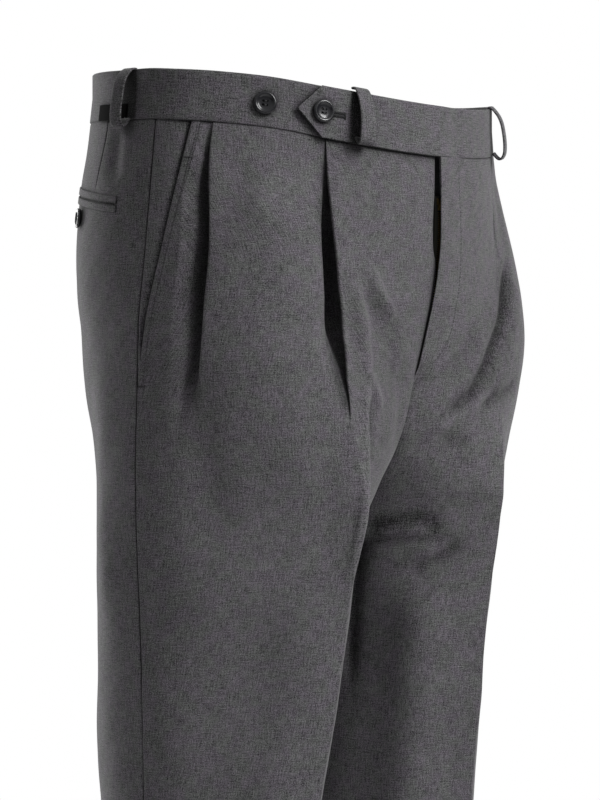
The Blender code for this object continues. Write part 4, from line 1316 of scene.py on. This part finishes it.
def wool_material():
    """Worsted wool: dark and light fibres spun together, fine warp and weft, a soft sheen."""
    nodes = Nodes("charcoal_wool_woven")
    cloth = nodes.add("ShaderNodeAttribute", attribute_name="cloth").outputs["Vector"]
    warp = nodes.noise(cloth, (1.15, 0.12, 0.0), detail=2.0, roughness=0.6)
    weft = nodes.noise(cloth, (0.12, 1.15, 0.0), detail=2.0, roughness=0.6)
    fleck = nodes.noise(cloth, (1.2, 1.2, 0.0), detail=2.0, roughness=0.6)
    fine = nodes.noise(cloth, (2.6, 2.6, 0.0), detail=1.0)
    patch = nodes.noise(cloth, (0.07, 0.05, 0.0), detail=2.0)
    light_hairs = nodes.math("MAXIMUM", nodes.math("SUBTRACT", fleck, 0.13), 0.0)
    tone = nodes.total(
        (warp, 1.9), (weft, 1.6), (fleck, 3.4), (fine, 3.0), (patch, 0.4), (light_hairs, 4.0)
    )
    split = nodes.add("ShaderNodeSeparateXYZ")
    nodes.link(cloth, split.inputs[0])
    fold = split.outputs["Z"]
    # painted light on the colour where the cloth's third value is above 0, painted shade where it is below
    # 0
    raised = nodes.math("MINIMUM", nodes.math("MULTIPLY", nodes.math("MAXIMUM", fold, 0.0), 0.05), 0.22)
    painted_shade = nodes.math("MAXIMUM", nodes.math("MULTIPLY", nodes.math("MINIMUM", fold, 0.0), 0.12), -0.9)
    tone = nodes.total((tone, 1.0), (raised, 1.0), (painted_shade, 1.0))
    # the colour also takes painted shade from ambient occlusion in seams, folds and gaps
    factor = nodes.math("MULTIPLY", nodes.math("ADD", tone, 1.0), nodes.tucked_shade())
    hue = nodes.noise(cloth, (0.08, 0.08, 0.0), detail=2.0)
    ramp = nodes.add("ShaderNodeValToRGB")
    ramp.color_ramp.elements[0].position = 0.38
    ramp.color_ramp.elements[0].color = (0.116, 0.118, 0.117, 1)
    ramp.color_ramp.elements[1].position = 0.62
    ramp.color_ramp.elements[1].color = (0.123, 0.112, 0.129, 1)
    nodes.link(nodes.math("ADD", hue, 0.5), ramp.inputs["Fac"])
    tinted = nodes.add("ShaderNodeVectorMath", operation="SCALE")
    nodes.link(ramp.outputs["Color"], tinted.inputs[0])
    nodes.link(factor, tinted.inputs["Scale"])
    nodes.link(tinted.outputs[0], nodes.shader.inputs["Base Color"])
    relief = nodes.total((warp, 1.0), (weft, 1.0), (fine, 0.8))
    bump = nodes.add("ShaderNodeBump")
    bump.inputs["Strength"].default_value = 0.35
    bump.inputs["Distance"].default_value = 0.25 * MM
    nodes.link(relief, bump.inputs["Height"])
    nodes.link(bump.outputs["Normal"], nodes.shader.inputs["Normal"])
    nodes.shader.inputs["Roughness"].default_value = 0.9
    nodes.shader.inputs["Specular IOR Level"].default_value = 0.25
    nodes.shader.inputs["Sheen Weight"].default_value = 0.2
    nodes.shader.inputs["Sheen Roughness"].default_value = 0.45
    return nodes.material


def plain_material(
    name, colour, roughness, metallic=0.0, coat=0.0, gloss=0.5, speckle=0.15, scale=900.0
):
    """One colour with a fine speckle; scale is how many grains there are per metre."""
    nodes = Nodes(name)
    place = nodes.add("ShaderNodeTexCoord").outputs["Object"]
    grain = nodes.noise(place, (scale, scale, scale), detail=2.0)
    tinted = nodes.add("ShaderNodeVectorMath", operation="SCALE")
    tinted.inputs[0].default_value = colour
    nodes.link(nodes.math("ADD", nodes.math("MULTIPLY", grain, speckle * 2), 1.0), tinted.inputs["Scale"])
    nodes.link(tinted.outputs[0], nodes.shader.inputs["Base Color"])
    uneven = nodes.math("ADD", nodes.math("MULTIPLY", grain, 0.15), roughness)
    nodes.link(uneven, nodes.shader.inputs["Roughness"])
    nodes.shader.inputs["Metallic"].default_value = metallic
    nodes.shader.inputs["Specular IOR Level"].default_value = gloss
    nodes.shader.inputs["Coat Weight"].default_value = coat
    nodes.shader.inputs["Coat Roughness"].default_value = 0.12
    return nodes.material


# ---------------------------------------------------------------- camera, light and floor

VIEW_ANGLE = math.radians(50)      # the camera stands this far round to the wearer's right
CAMERA_SPOT = (0.01103, -0.2095, 2.0)      # right, up and near, as from_view takes them
CAMERA_LENS = 122.4
FLOOR_RADIUS = 2.4
VIEW_RIGHT = Vector((math.cos(VIEW_ANGLE), -math.sin(VIEW_ANGLE), 0))
VIEW_BACK = Vector((-math.sin(VIEW_ANGLE), -math.cos(VIEW_ANGLE), 0))


def from_view(right, up, near):
    """Point in metres given in the camera's own directions, from the model's origin."""
    return VIEW_RIGHT * right + VIEW_BACK * near + Vector((0, 0, up))


def add_camera():
    """The photograph's viewpoint, level with the thighs."""
    lens = bpy.data.cameras.new("camera")
    lens.sensor_width = 36
    lens.lens = CAMERA_LENS
    camera = bpy.data.objects.new("camera", lens)
    turn = Matrix((VIEW_RIGHT, Vector((0, 0, 1)), VIEW_BACK)).transposed().to_4x4()
    camera.matrix_world = Matrix.Translation(from_view(*CAMERA_SPOT)) @ turn
    bpy.context.scene.collection.objects.link(camera)
    bpy.context.scene.camera = camera


def add_light(name, spot, target, size, power):
    """A rectangular lamp that the camera doesn't see."""
    light = bpy.data.lights.new(name, "AREA")
    light.shape = "RECTANGLE"
    light.size, light.size_y = size
    light.energy = power
    lamp = bpy.data.objects.new(name, light)
    turn = (spot - target).to_track_quat("Z", "Y").to_matrix().to_4x4()
    lamp.matrix_world = Matrix.Translation(spot) @ turn
    lamp.visible_camera = False
    bpy.context.scene.collection.objects.link(lamp)


def add_world():
    """White where the camera sees it; as a light, bright above and dim below."""
    world = bpy.data.worlds.new("studio")
    world.use_nodes = True
    tree = world.node_tree
    seen = tree.nodes["Background"]
    seen.inputs["Color"].default_value = (1, 1, 1, 1)
    lighting = tree.nodes.new("ShaderNodeBackground")
    lighting.inputs["Color"].default_value = (1, 1, 1, 1)
    direction = tree.nodes.new("ShaderNodeTexCoord")
    height = tree.nodes.new("ShaderNodeSeparateXYZ")
    tree.links.new(direction.outputs["Generated"], height.inputs[0])
    from_above = tree.nodes.new("ShaderNodeMapRange")
    from_above.interpolation_type = "SMOOTHSTEP"
    for socket, value in (("From Min", -0.3), ("From Max", 0.7), ("To Min", 0.05), ("To Max", 0.38)):
        from_above.inputs[socket].default_value = value
    tree.links.new(height.outputs["Z"], from_above.inputs["Value"])
    tree.links.new(from_above.outputs["Result"], lighting.inputs["Strength"])
    path = tree.nodes.new("ShaderNodeLightPath")
    choose = tree.nodes.new("ShaderNodeMixShader")
    tree.links.new(path.outputs["Is Camera Ray"], choose.inputs["Fac"])
    tree.links.new(lighting.outputs[0], choose.inputs[1])
    tree.links.new(seen.outputs[0], choose.inputs[2])
    tree.links.new(choose.outputs[0], tree.nodes["World Output"].inputs["Surface"])
    bpy.context.scene.world = world
    bpy.context.scene.view_settings.view_transform = "Standard"


def add_lights():
    """A key lamp from the right and above, and a rim lamp low on each side behind."""
    middle = Vector((0, 0, -0.25))
    add_light("key", from_view(1.76, 1.3, 1.2), middle, (0.8, 1.5), 52)
    add_light("rim_left", from_view(-1.27, -0.1, -1.41), middle, (0.6, 1.6), 21)
    add_light("rim_right", from_view(0.95, -0.1, -1.65), middle, (0.6, 1.6), 6)


def add_floor():
    """Plain pale disc just below the hems."""
    floor = bpy.data.meshes.new("floor")
    builder = bmesh.new()
    bmesh.ops.create_circle(builder, cap_ends=True, segments=96, radius=FLOOR_RADIUS)
    builder.to_mesh(floor)
    builder.free()
    ground = bpy.data.objects.new("floor", floor)
    ground.location = (0, 0, (HEM_Z - 1.0) * MM)
    pale = plain_material("pale_floor", (0.65, 0.65, 0.65), 0.8, speckle=0.02, scale=6.0)
    ground.data.materials.append(pale)
    bpy.context.scene.collection.objects.link(ground)


# ---------------------------------------------------------------- the cut of each cloth piece

# Width and length of the cut in metres, its area where it isn't a rectangle, how it is held, by what
FRONT_HANGS = ("waistband_right_cloth", "waistband_left_cloth")
SHEETS = {
    "front_right": (0.372, 1.085, 0.290, "hung", FRONT_HANGS),
    "front_left": (0.360, 1.085, 0.286, "hung", FRONT_HANGS),
    "back_right": (0.278, 1.085, 0.274, "hung", FRONT_HANGS),
    "back_left": (0.278, 1.085, 0.274, "hung", FRONT_HANGS),
    "pocket_facing_right": (0.037, 0.186, 0.0045, "laid", ("front_right_cloth",)),
    "pocket_facing_left": (0.037, 0.186, 0.0045, "laid", ("front_left_cloth",)),
    "waistband_right": (0.036, 0.464, None, "folded", ("front_right_cloth", "back_right_cloth")),
    "waistband_left": (0.037, 0.584, None, "folded", ("front_left_cloth", "back_left_cloth")),
    "side_label": (0.0115, 0.040, None, "laid", ("waistband_right_cloth",)),
}
WELT_CUT = (0.010, 0.130, 0.0008, "folded")
LOOP_CUT = (0.011, 0.055, None, "folded")
ZIP_TAPE_CUT = (0.019, 0.118, None, "laid", ("front_left_cloth",))


def declare_sheets():
    """Builds a table of the flat cut of every cloth piece, and what holds it, that nothing reads."""
    cuts = {name + "_cloth": cut for name, cut in SHEETS.items()}
    for side in ("right", "left"):
        for edge in ("upper", "lower"):
            cuts[f"back_welt_{edge}_{side}_cloth"] = (*WELT_CUT, (f"back_{side}_cloth",))
    for name, side, *_ in LOOPS:
        band = "waistband_left_cloth" if side > 0 else "waistband_right_cloth"
        cuts[name + "_cloth"] = (*LOOP_CUT, (band,))
    cuts["zip_tape_woven"] = ZIP_TAPE_CUT


# ---------------------------------------------------------------- the whole garment


def main():
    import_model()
    wool = wool_material()
    horn = plain_material("black_horn_polished", (0.012, 0.012, 0.015), 0.3, coat=0.35)
    thread = plain_material("black_thread", (0.02, 0.02, 0.022), 0.7)
    matching = plain_material("charcoal_thread", (0.068, 0.066, 0.070), 0.8)
    brass = plain_material("brass_teeth", (0.42, 0.31, 0.12), 0.4, metallic=1.0)
    tape_cloth = plain_material("olive_black_tape", (0.035, 0.035, 0.026), 0.85, scale=2500.0)
    black = plain_material("black_woven_label", (0.004, 0.004, 0.004), 0.95, gloss=0.08)

    add_camera()
    for name, side in (("right", -1), ("left", 1)):
        samples, outs = add_front("front_" + name, side, wool)
        add_front_stitches("front_" + name, side, samples, outs, matching)
        add_back("back_" + name, side, wool)
        add_facing("pocket_facing_" + name, side, wool)
        add_welt("back_welt_upper_" + name, side, True, wool)
        add_welt("back_welt_lower_" + name, side, False, wool)
    add_band_right(wool)
    add_band_left(wool)
    for name, side, place, raised, top, low in LOOPS:
        add_loop(name, side, place, raised, top, low, wool)
    add_label(black)
    add_buttons(horn, thread)
    add_buttonhole(thread)
    add_zip(brass, tape_cloth)
    add_world()
    add_lights()
    add_floor()
    declare_sheets()


main()
